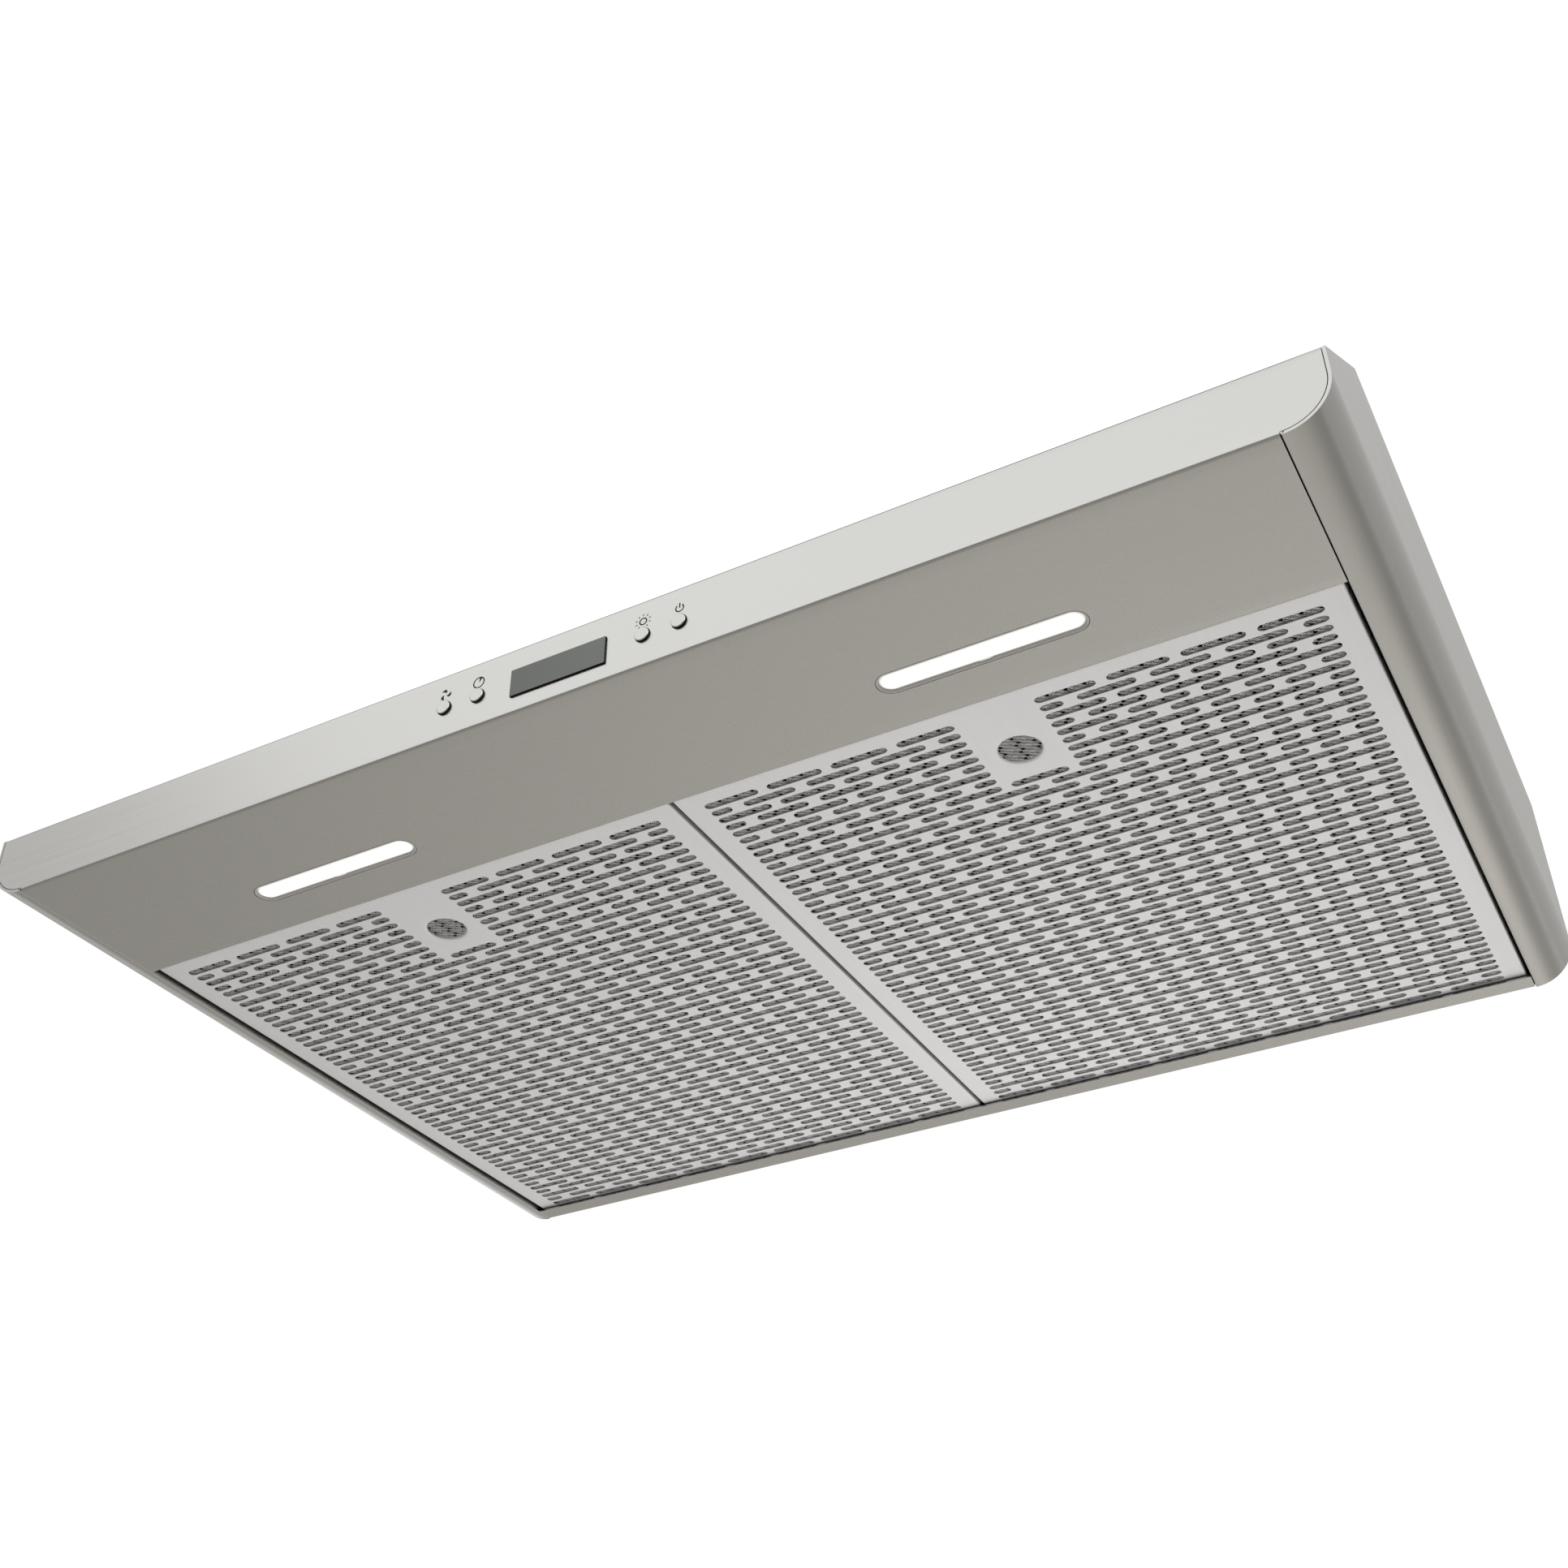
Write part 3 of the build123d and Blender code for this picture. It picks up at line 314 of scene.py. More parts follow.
# ---- Node tools ----
def feed(tree, node, inputs):
    """Gives a node's inputs their values, or links them to the sockets that are given for them."""
    for key, value in inputs.items():
        if isinstance(value, bpy.types.NodeSocket):
            tree.links.new(value, node.inputs[key])
        else:
            node.inputs[key].default_value = value


def add_node(tree, kind, settings=None, inputs=None, stops=None):
    """Adds a node: settings are its own properties, inputs go to feed, stops fill a ramp."""
    node = tree.nodes.new(kind)
    for key, value in (settings or {}).items():
        setattr(node, key, value)
    feed(tree, node, inputs or {})
    for k, (position, shade) in enumerate(stops or ()):
        ramp = node.color_ramp.elements
        stop = ramp[k] if k < 2 else ramp.new(position)
        stop.position = position
        stop.color = shade
    return node


def new_material(name):
    """Empty material: its tree, its shader and its Object coordinates."""
    material = bpy.data.materials.new(name)
    material.use_nodes = True
    tree = material.node_tree
    place = add_node(tree, "ShaderNodeTexCoord").outputs["Object"]
    return material, tree, tree.nodes["Principled BSDF"], place


def toned(shade, factor):
    """A colour made lighter or darker."""
    return tuple(min(1.0, c * factor) for c in shade[:3]) + (1.0,)


def brushed_stainless(name, shade, grain, roughness=0.25):
    """Stainless steel sheet, brushed along one axis.

    To the eye: a soft, slightly warm metal whose highlights are drawn out across fine parallel scratches.
    grain is the stretch of the scratches as repeats per metre along X, Y and Z.
    """
    material, tree, shader, place = new_material(name)
    # A real brush line is under 0.1 mm wide; 900 repeats per metre make it about 1 mm, so that it shows.
    lines = add_node(tree, "ShaderNodeMapping", inputs={"Vector": place, "Scale": grain}).outputs[0]
    scratch = add_node(tree, "ShaderNodeTexNoise", inputs={
        "Vector": lines, "Scale": 1.0, "Detail": 4.0, "Roughness": 0.65}).outputs["Fac"]
    # The sheet's tone also drifts, over about 200 mm.
    drift = add_node(tree, "ShaderNodeTexNoise", inputs={
        "Vector": place, "Scale": 5.0, "Detail": 2.0}).outputs["Fac"]
    blend = add_node(tree, "ShaderNodeMix", {"data_type": "FLOAT"}, {
        0: 0.35, 2: scratch, 3: drift}).outputs[0]
    tone = add_node(tree, "ShaderNodeValToRGB", inputs={"Fac": blend}, stops=[
        (0.25, toned(shade, 0.965)), (0.75, toned(shade, 1.02))]).outputs["Color"]
    rough = add_node(tree, "ShaderNodeMapRange", inputs={
        "Value": scratch, "From Min": 0.3, "From Max": 0.7,
        "To Min": roughness - 0.03, "To Max": roughness + 0.04}).outputs[0]
    relief = add_node(tree, "ShaderNodeBump", inputs={
        "Strength": 0.1, "Distance": 0.00002, "Height": scratch}).outputs[0]
    feed(tree, shader, {"Base Color": tone, "Roughness": rough, "Normal": relief, "Metallic": 1.0})
    return material


def mottled(name, dark, light, metallic, roughness, grain, relief=0.0, cells=False, coat=0.0,
            shine=0.5):
    """Material whose tone, gloss and relief wander between two states.

    grain is the size of the mottling in metres, relief its height; cells draws it as crystals or pebbles.
    """
    material, tree, shader, place = new_material(name)
    # A cell's value can be anything from 0 to 1, while noise keeps near the middle.
    spread = (0.1, 0.9) if cells else (0.3, 0.7)
    if cells:
        wave = add_node(tree, "ShaderNodeTexVoronoi", {"feature": "F1"}, {
            "Vector": place, "Scale": 1.0 / grain, "Randomness": 1.0})
        pattern = add_node(tree, "ShaderNodeRGBToBW", inputs={"Color": wave.outputs["Color"]}).outputs[0]
    else:
        pattern = add_node(tree, "ShaderNodeTexNoise", inputs={
            "Vector": place, "Scale": 1.0 / grain, "Detail": 3.0, "Roughness": 0.6}).outputs["Fac"]
    tone = add_node(tree, "ShaderNodeValToRGB", inputs={"Fac": pattern}, stops=[
        (spread[0], linear(dark)), (spread[1], linear(light))]).outputs["Color"]
    rough = add_node(tree, "ShaderNodeMapRange", inputs={
        "Value": pattern, "From Min": spread[0], "From Max": spread[1],
        "To Min": roughness[0], "To Max": roughness[1]}).outputs[0]
    feed(tree, shader, {"Base Color": tone, "Roughness": rough, "Metallic": metallic,
                        "Coat Weight": coat, "Specular IOR Level": shine})
    if relief:
        bump = add_node(tree, "ShaderNodeBump", inputs={
            "Strength": 0.6, "Distance": relief, "Height": pattern}).outputs[0]
        feed(tree, shader, {"Normal": bump})
    return material


def satin_aluminium_sheet(shade):
    """Rolled aluminium sheet, satin etched.

    To the eye: paler and flatter than the steel, with faint rolling lines from front to rear. The lines
    are 2 to 3 mm apart, coarser than real ones so that they show, and the haze changes over about 70 mm.
    """
    material, tree, shader, place = new_material("satin_aluminium_sheet")
    rolled = add_node(tree, "ShaderNodeMapping", inputs={"Vector": place, "Scale": (420, 12, 40)}).outputs[0]
    lines = add_node(tree, "ShaderNodeTexNoise", inputs={
        "Vector": rolled, "Scale": 1.0, "Detail": 3.0}).outputs["Fac"]
    haze = add_node(tree, "ShaderNodeTexNoise", inputs={
        "Vector": place, "Scale": 14.0, "Detail": 3.0}).outputs["Fac"]
    blend = add_node(tree, "ShaderNodeMix", {"data_type": "FLOAT"}, {0: 0.5, 2: lines, 3: haze}).outputs[0]
    tone = add_node(tree, "ShaderNodeValToRGB", inputs={"Fac": blend}, stops=[
        (0.3, toned(shade, 0.95)), (0.7, shade)]).outputs["Color"]
    rough = add_node(tree, "ShaderNodeMapRange", inputs={
        "Value": haze, "From Min": 0.3, "From Max": 0.7, "To Min": 0.4, "To Max": 0.5}).outputs[0]
    # The etch scatters a good part of the light, so the sheet is only partly mirror-like.
    feed(tree, shader, {"Base Color": tone, "Roughness": rough, "Metallic": 0.5})
    return material


def shaded_inner_mesh(shade):
    """Upper layers of expanded aluminium, seen in shade through the lowest one.

    To the eye: near black, with a faint net of strands in it. A wave of scale 90 repeats every 3.5 mm,
    which is about the space between crossing strands of several layers laid over each other.
    """
    material, tree, shader, place = new_material("shaded_inner_mesh")
    bands = []
    for turn in (0.9, -0.9):
        slanted = add_node(tree, "ShaderNodeMapping", inputs={
            "Vector": place, "Rotation": (0, 0, turn)}).outputs[0]
        bands.append(add_node(tree, "ShaderNodeTexWave", inputs={
            "Vector": slanted, "Scale": 90.0, "Distortion": 1.5, "Detail": 1.0}).outputs["Fac"])
    net = add_node(tree, "ShaderNodeMath", {"operation": "MAXIMUM"}, {0: bands[0], 1: bands[1]}).outputs[0]
    tone = add_node(tree, "ShaderNodeValToRGB", inputs={"Fac": net}, stops=[
        (0.7, toned(shade, 0.7)), (0.95, toned(shade, 1.9))]).outputs["Color"]
    feed(tree, shader, {"Base Color": tone, "Roughness": 0.8, "Specular IOR Level": 0.1})
    return material


# The lamp's glow in its middle and at its rim, and where the fade starts inside and ends beyond its edge.
GLOW_MIDDLE = 0.95
GLOW_RIM = 0.3
GLOW_FADE = (2.6 * MM, 0.3 * MM)


def frosted_lens_cover():
    """Moulded polycarbonate, frosted and lit from behind.

    To the eye: a white glow that softens to grey within 3 mm of the rim. Its strength falls with the
    distance from the lens's own middle line, which is the same for both lamps once X loses its sign.
    """
    material, tree, shader, place = new_material("frosted_lens_cover")
    middle, half = box_middle("light_lens_right", X), box_half("light_lens_right", X)
    radius = bpy.context.scene.range_hood.controls.lens_width / 2
    parts = add_node(tree, "ShaderNodeSeparateXYZ", inputs={"Vector": place})
    past = parts.outputs["X"]
    for operation, amount in (("ABSOLUTE", 0), ("SUBTRACT", middle), ("ABSOLUTE", 0),
                              ("SUBTRACT", half - radius), ("MAXIMUM", 0)):
        past = add_node(tree, "ShaderNodeMath", {"operation": operation}, {0: past, 1: amount}).outputs[0]
    beside = add_node(tree, "ShaderNodeMath", {"operation": "SUBTRACT"}, {
        0: parts.outputs["Y"], 1: FRONT + LAMP_DEPTH}).outputs[0]
    flat = add_node(tree, "ShaderNodeCombineXYZ", inputs={"X": past, "Y": beside}).outputs[0]
    away = add_node(tree, "ShaderNodeVectorMath", {"operation": "LENGTH"}, {0: flat}).outputs["Value"]
    glow = add_node(tree, "ShaderNodeMapRange", {"interpolation_type": "SMOOTHSTEP"}, {
        "Value": away, "From Min": radius - GLOW_FADE[0], "From Max": radius + GLOW_FADE[1],
        "To Min": GLOW_MIDDLE, "To Max": GLOW_RIM}).outputs[0]
    feed(tree, shader, {"Emission Strength": glow, "Emission Color": (1, 1, 1, 1),
                        "Base Color": linear("#B9B9B6"), "Roughness": 0.55, "IOR": 1.585})
    return material


def smoked_acrylic(shade):
    """Cast acrylic window, smoked, over a dark display.

    To the eye: grey-green and glossy. Its right end is a little lighter, which is painted light, and a smear
    about 15 mm across makes it uneven.
    """
    material, tree, shader, place = new_material("smoked_acrylic")
    across = add_node(tree, "ShaderNodeSeparateXYZ", inputs={"Vector": place}).outputs["X"]
    smear = add_node(tree, "ShaderNodeTexNoise", inputs={
        "Vector": place, "Scale": 60.0, "Detail": 4.0}).outputs["Fac"]
    # Painted light: the tone rises from left to right along X, and the smear added to it makes it uneven.
    wander = add_node(tree, "ShaderNodeMath", {"operation": "MULTIPLY_ADD"}, {
        0: smear, 1: 0.012, 2: across}).outputs[0]
    tone = add_node(tree, "ShaderNodeMapRange", inputs={
        "Value": wander, "From Min": -0.024, "From Max": 0.034}).outputs[0]
    smear_and_painted_light = add_node(tree, "ShaderNodeValToRGB", inputs={"Fac": tone}, stops=[
        (0.0, toned(shade, 0.85)), (1.0, toned(shade, 1.2))]).outputs["Color"]
    feed(tree, shader, {"Base Color": smear_and_painted_light, "Roughness": 0.16, "IOR": 1.49})
    return material


def make_materials(finishes):
    """Every material, by the name of the record's slot that it finishes, and a few for new pieces."""
    steel = tuple(finishes.stainless)
    return {
        "stainless_casing": brushed_stainless("brushed_stainless_lengthwise", steel, (9, 900, 900)),
        "stainless_cap": brushed_stainless("brushed_stainless_depthwise", steel, (900, 9, 900), 0.24),
        # Painted shade: the same steel toned down, a painted reflection of the dark room above that a real
        # hem would mirror.
        "stainless_hem_painted_shade": brushed_stainless("brushed_stainless_hem", toned(steel, 0.4), (9, 900, 900), 0.4),
        "button_metal": brushed_stainless("brushed_stainless_button", steel, (60, 900, 900)),
        "filter_aluminium": satin_aluminium_sheet(tuple(finishes.aluminium)),
        # Slit and stretched aluminium foil: pale, thin and only partly mirror-like.
        "mesh_strand": mottled("expanded_aluminium_strand", "#DADADC", "#EEEEF0", 0.25, (0.35, 0.5), 0.004),
        "deep_mesh": shaded_inner_mesh(tuple(finishes.deep_mesh)),
        "frosted_lens": frosted_lens_cover(),
        "smoked_window": smoked_acrylic(tuple(finishes.window)),
        # Injection-moulded ABS with a fine spark-eroded grain: satin, never quite even.
        "grey_moulding": mottled("moulded_grey_abs", "#A3A29F", "#B1B0AD", 0.0, (0.38, 0.5), 0.0006, 0.00001),
        "black_moulding": mottled("moulded_black_abs", "#0E0E0E", "#161616", 0.0, (0.45, 0.6), 0.0006,
                                  0.00001, shine=0.2),
        # Hot-dip galvanised steel: crystals of zinc about 8 mm across, each with its own tone and gloss.
        "galvanised_sheet": mottled("hot_dip_galvanised_steel", "#9DA1A4", "#B0B4B7", 1.0, (0.38, 0.48),
                                    0.008, 0.000004, cells=True),
        # Zinc-plated turned steel: cool, bright and slightly blotched by its passivation.
        "zinc_hardware": mottled("zinc_plated_steel", "#A9ADB3", "#C9CDD2", 1.0, (0.2, 0.36), 0.002),
        # Hardened spring strip: dark straw-blue oil temper.
        "spring_steel": mottled("tempered_spring_steel", "#6E7074", "#8C8E92", 1.0, (0.25, 0.4), 0.003),
        # Glass-fibre board under green solder mask, with the copper's edges just showing.
        "circuit_board": mottled("solder_masked_board", "#0F4A2A", "#1C6B40", 0.0, (0.25, 0.4), 0.0025,
                                 0.00003, cells=True),
        # Stove-enamelled steel can: smooth dark grey with slight orange peel.
        "motor_enamel": mottled("stoved_motor_enamel", "#3C4044", "#4A4E52", 0.0, (0.22, 0.34), 0.0015,
                                0.00002, coat=0.2),
        # Pressed and riveted aluminium wheel: bright, dulled where the air has dirtied it.
        "wheel_aluminium": mottled("pressed_wheel_aluminium", "#B9BBBE", "#D9DBDE", 1.0, (0.3, 0.5), 0.006),
        # Drawn aluminium can of a run capacitor.
        "capacitor_case": mottled("drawn_capacitor_can", "#BFC1C3", "#D6D8DA", 1.0, (0.22, 0.35), 0.003),
        # Nickelled brass screw with a green-tinted passivation.
        "ground_brass": mottled("passivated_brass", "#6F8A45", "#9DA65A", 1.0, (0.28, 0.42), 0.0015),
        # Extruded PVC cable jacket: soft grey, matt.
        "cable_jacket": mottled("extruded_pvc_jacket", "#9A9A98", "#AEAEAC", 0.0, (0.5, 0.65), 0.0015,
                                0.00001),
        # Pad-printed ink: matt, thin enough to look slightly broken at its edges.
        "ink": mottled("pad_printed_ink", "#1A1A1A", "#2A2A2A", 0.0, (0.6, 0.75), 0.0004, shine=0.2),
    }


MATERIALS = {}


def finish(name):
    """The material of that name, made on first use."""
    if not MATERIALS:
        MATERIALS.update(make_materials(bpy.context.scene.range_hood.finishes))
    return MATERIALS[name]


# ---- Casing ----
def front_section(casing, rows_up, rows_back):
    """Section of the front sheet as (distance along it, depth, height).

    A quarter turn over the top hem, straight down the upright face, a quarter turn, straight back along
    the visor, a quarter turn, up the lip.
    """
    front, rear, hem = casing.front_bend, casing.rear_bend, casing.top_hem
    turn = quarter_turn(7)
    over = np.stack([hem - hem * np.sin(turn), FASCIA_TOP - hem + hem * np.cos(turn)], -1)
    down = np.stack([rows_up * 0, rows_up[::-1]], -1)
    first = np.stack([front - front * np.cos(turn), front - front * np.sin(turn)], -1)
    level = np.stack([rows_back, rows_back * 0], -1)
    second = np.stack([VISOR_DEPTH - rear + rear * np.sin(turn), rear - rear * np.cos(turn)], -1)
    lip = np.array([[VISOR_DEPTH, casing.lip_height]])
    path = np.concatenate([over[:-1], down, first[1:-1], level, second[1:], lip])
    run = np.concatenate([[0], np.cumsum(np.linalg.norm(np.diff(path, axis=0), axis=1))])
    return run, path[:, 0], path[:, 1]


def button_places():
    """(x, z) of the four buttons, from the frame."""
    return [(box_middle("button_" + name, X), box_middle("button_" + name, Z)) for name in BUTTONS]


# Half sizes of the lattice cells that hold a lamp's and a button's hole, and the gaps round the pieces.
LAMP_CELL = (58 * MM, 10 * MM)
BUTTON_CELL = 6 * MM
BUTTON_GAP = 0.25 * MM
WINDOW_GAP = 0.15 * MM
RIM_GAP = 0.3 * MM
# The display window's half width, and the heights of its two long sides.
WINDOW_HALF = 27.5 * MM
WINDOW_HEIGHTS = (9.8 * MM, 26.2 * MM)
# Narrow rows beside the window's opening, which keep its corners sharp.
WINDOW_ROW = 0.1 * MM


def front_sheet_patches(casing, controls):
    """Upright face and visor in one skin, with its holes, and the face's two rounded ends.

    The skin is a lattice across and along the section. Where a hole lies, the lattice's cells give way to
    a ring between their rim and the hole. At each end the face's lower edge follows the inside of the
    cap's quarter circle, at centre height minus the square root of radius squared less offset squared.
    """
    window_x = (-WINDOW_HALF - WINDOW_GAP, WINDOW_HALF + WINDOW_GAP)
    window_z = (WINDOW_HEIGHTS[0] - WINDOW_GAP, WINDOW_HEIGHTS[1] + WINDOW_GAP)
    buttons = button_places()
    level = buttons[0][1]
    lamps = [box_middle("light_lens_" + name, X) for name, _ in SIDES]
    fine = [(x - BUTTON_CELL, x + BUTTON_CELL, 12) for x, _ in buttons]
    fine += [(x - LAMP_CELL[0], x + LAMP_CELL[0], 28) for x in lamps] + [(*window_x, 6)]
    across = lattice(-FRONT_HALF, FRONT_HALF, 18 * MM, fine)
    up = lattice(casing.front_bend, FASCIA_TOP - casing.top_hem, 6 * MM, [
        (level - BUTTON_CELL, level + BUTTON_CELL, 12), (window_z[0], window_z[0] + WINDOW_ROW, 1),
        (window_z[1] - WINDOW_ROW, window_z[1], 1)])
    back = lattice(casing.front_bend, VISOR_DEPTH - casing.rear_bend, 9 * MM, [
        (LAMP_DEPTH - LAMP_CELL[1], LAMP_DEPTH + LAMP_CELL[1], 12)])
    run, depth, height = front_section(casing, up, back)

    def unrolled(plan):
        """Points of the sheet at (across, along) positions of its flat pattern."""
        x, s = plan[..., 0], plan[..., 1]
        return np.stack([x, FRONT + np.interp(s, run, depth), np.interp(s, run, height)], -1)

    hem_rows = 6
    face_end = hem_rows + len(up)
    visor_start = run[face_end + 5] - casing.front_bend
    zero_height = run[hem_rows] + FASCIA_TOP - casing.top_hem
    cells = [((x - BUTTON_CELL, x + BUTTON_CELL),
              (zero_height - level - BUTTON_CELL, zero_height - level + BUTTON_CELL),
              0.0, controls.button_radius + BUTTON_GAP) for x, _ in buttons]
    reach = (controls.lamp_length - controls.rim_width) / 2
    middle = visor_start + LAMP_DEPTH
    cells += [((x - LAMP_CELL[0], x + LAMP_CELL[0]), (middle - LAMP_CELL[1], middle + LAMP_CELL[1]),
               reach, controls.rim_width / 2 + RIM_GAP) for x in lamps]
    plan = np.stack(np.meshgrid(across, run), -1)
    faces = grid_faces(len(run), len(across))
    centre = plan.reshape(-1, 2)[faces].mean(1)
    keep = ~((abs(centre[:, 0]) < window_x[1]) & (centre[:, 1] > zero_height - window_z[1])
             & (centre[:, 1] < zero_height - window_z[0]))
    patches = []
    for sides, ends, hole_reach, radius in cells:
        keep &= ~((centre[:, 0] > sides[0]) & (centre[:, 0] < sides[1])
                  & (centre[:, 1] > ends[0]) & (centre[:, 1] < ends[1]))
        rim = cell_rim(inside(across, *sides), inside(run, *ends))
        rings = drawn_in(rim, (sum(sides) / 2, sum(ends) / 2), hole_reach, radius, 2)
        patches.append(surface(unrolled(rings), wrap=True, flip=True))
    points, in_hem = unrolled(plan).reshape(-1, 3), centre[:, 1] < run[hem_rows]
    patches += [(points, faces[keep & ~in_hem][:, ::-1]), (points, faces[in_hem][:, ::-1])]
    # The hem's faces take the second material, steel toned down as painted shade.
    finish_of = [0] * (len(patches) - 1) + [1]
    inner = casing.corner_radius - casing.cap_sheet - casing.seam
    axis = HALF_WIDTH - casing.corner_radius
    sweep = np.sin(quarter_turn(15)) * inner
    outward = np.concatenate([[FRONT_HALF], axis + sweep])
    lowest = casing.corner_radius - np.sqrt(np.maximum(inner ** 2 - np.maximum(outward - axis, 0) ** 2, 0))
    lowest[0] = casing.front_bend
    share = (height[:face_end] - casing.front_bend) / (FASCIA_TOP - casing.front_bend)
    rise = lowest[None, :] + share[:, None] * (FASCIA_TOP - lowest[None, :])
    for side in (-1, 1):
        plate = np.stack([np.broadcast_to(side * outward, rise.shape),
                          np.broadcast_to(FRONT + depth[:face_end, None], rise.shape), rise], -1)
        patches += [surface(plate[hem_rows:], flip=side > 0), surface(plate[:hem_rows + 1], flip=side > 0)]
        finish_of += [0, 1]
    return patches, finish_of


# Small bend between a cap's return and its round side, the cap's notches beyond the sheets that it laps at
# both ends, and the short step between neighbouring heights of the return.
CAP_BEND = 0.8 * MM
CAP_CLEARANCE = 0.2 * MM
CAP_STEP = 0.02 * MM


def cap_patch(casing, side):
    """Rounded side of the casing.

    A section runs down the return, round a small bend, along a quarter circle and up the wall, and is
    carried from front to rear. The wall's top follows the sloped front, then the level top.
    """
    radius, axis = casing.corner_radius, HALF_WIDTH - casing.corner_radius
    bend = CAP_BEND
    slope = (TOP - FASCIA_TOP) / SLOPE_RUN
    notch = casing.sheet + CAP_CLEARANCE
    length = REAR - FRONT
    ends = [0, notch - CAP_STEP, notch, SLOPE_RUN, length - notch, length - notch + CAP_STEP, length]
    rows = np.unique(np.concatenate([
        ends, np.linspace(notch, SLOPE_RUN, 7), np.linspace(SLOPE_RUN, length - notch, 18)]))
    full = np.minimum(TOP, FASCIA_TOP + slope * rows)
    free = (rows > notch - CAP_STEP / 2) & (rows < length - notch + CAP_STEP / 2)
    upper = np.where(free, casing.cap_return, casing.cap_sheet + 0.1 * MM)
    share = np.linspace(1, 0, 4)[None, :]
    down = bend + share * (upper[:, None] - bend)
    small = quarter_turn(5)[1:]
    large = quarter_turn(33, bend / radius)[1:]
    across = np.concatenate([
        np.full(4, axis), axis + bend * (1 - np.cos(small)), axis + radius * np.sin(large)])
    low = np.concatenate([bend * (1 - np.sin(small)), radius * (1 - np.cos(large))])
    wall = radius + np.linspace(0, 1, 7)[None, 1:] * (full[:, None] - radius)
    x = np.concatenate([across, np.full(6, HALF_WIDTH)])
    z = np.concatenate([down, np.broadcast_to(low, (len(rows), len(low))), wall], 1)
    points = np.stack([
        np.broadcast_to(side * x, z.shape), np.broadcast_to(FRONT + rows[:, None], z.shape), z], -1)
    return surface(points, flip=side > 0)


class HOOD_OT_front_sheet(bpy.types.Operator):
    """Upright face and visor, bent from one brushed stainless sheet."""

    bl_idname = "range_hood.front_sheet"
    bl_label = "Front sheet"

    def execute(self, context):
        settings = context.scene.range_hood
        patches, finish_of = front_sheet_patches(settings.casing, settings.controls)
        # The second material is the hem's steel, toned down as painted shade.
        finishes = [finish("stainless_casing"), finish("stainless_hem_painted_shade")]
        piece = new_piece("front_sheet", patches, finishes, finish_of)
        give_wall(piece, settings.casing.sheet)
        break_edges(piece, 0.15 * MM)
        settle(piece, "hood", "stainless_casing", "front_panel")
        return {"FINISHED"}


class HOOD_OT_end_caps(bpy.types.Operator):
    """Two rounded end caps of brushed stainless sheet."""

    bl_idname = "range_hood.end_caps"
    bl_label = "End caps"

    def execute(self, context):
        casing = context.scene.range_hood.casing
        for name, side in SIDES:
            piece = new_piece("end_cap_skin_" + name, [cap_patch(casing, side)], [finish("stainless_cap")])
            give_wall(piece, casing.cap_sheet)
            break_edges(piece, casing.edge_break)
            settle(piece, "hood", "stainless_casing", "end_cap_" + name)
        return {"FINISHED"}


# ---- Filters ----
FIRST_ROW = 116.9 * MM
FINGER_ROWS = 8
FINGER_DEPTH = 149.7 * MM
# Short slots stand this far from the middle of their cell, towards the plain sheet beside them.
SHORT_SHIFT = 0.49 * MM


def filter_frame(side):
    """Centre x, half width, front depth, rear depth, face height and wall top of one filter's pan."""
    node = "filter_face_" + side
    low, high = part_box(node)
    return box_middle(node, X), box_half(node, X), low.y - FRONT, high.y - FRONT, low.z, high.z


def slot_cells(filters, centres, half_cell, length, shift=0.0):
    """Cells of one kind of slot: a rim of lattice points drawn in to the slot, copied to every centre."""
    step = filters.pitch_across / 8
    across = np.linspace(-half_cell, half_cell, round(2 * half_cell / step) + 1)
    along = np.linspace(-0.5, 0.5, 5) * filters.pitch_along
    radius = filters.slot_width / 2
    rings = drawn_in(cell_rim(across, along), (shift, 0.0), length / 2 - radius, radius)
    flat = np.concatenate([rings, np.zeros(rings.shape[:2] + (1,))], -1)
    return repeated_rings(flat, centres)


def slot_places(filters, columns, rows):
    """Centre of a cell at every pairing of a column and a row."""
    x, depth = np.meshgrid(columns, FIRST_ROW + rows * filters.pitch_along)
    return np.stack([x.ravel(), depth.ravel(), np.zeros(x.size)], -1)


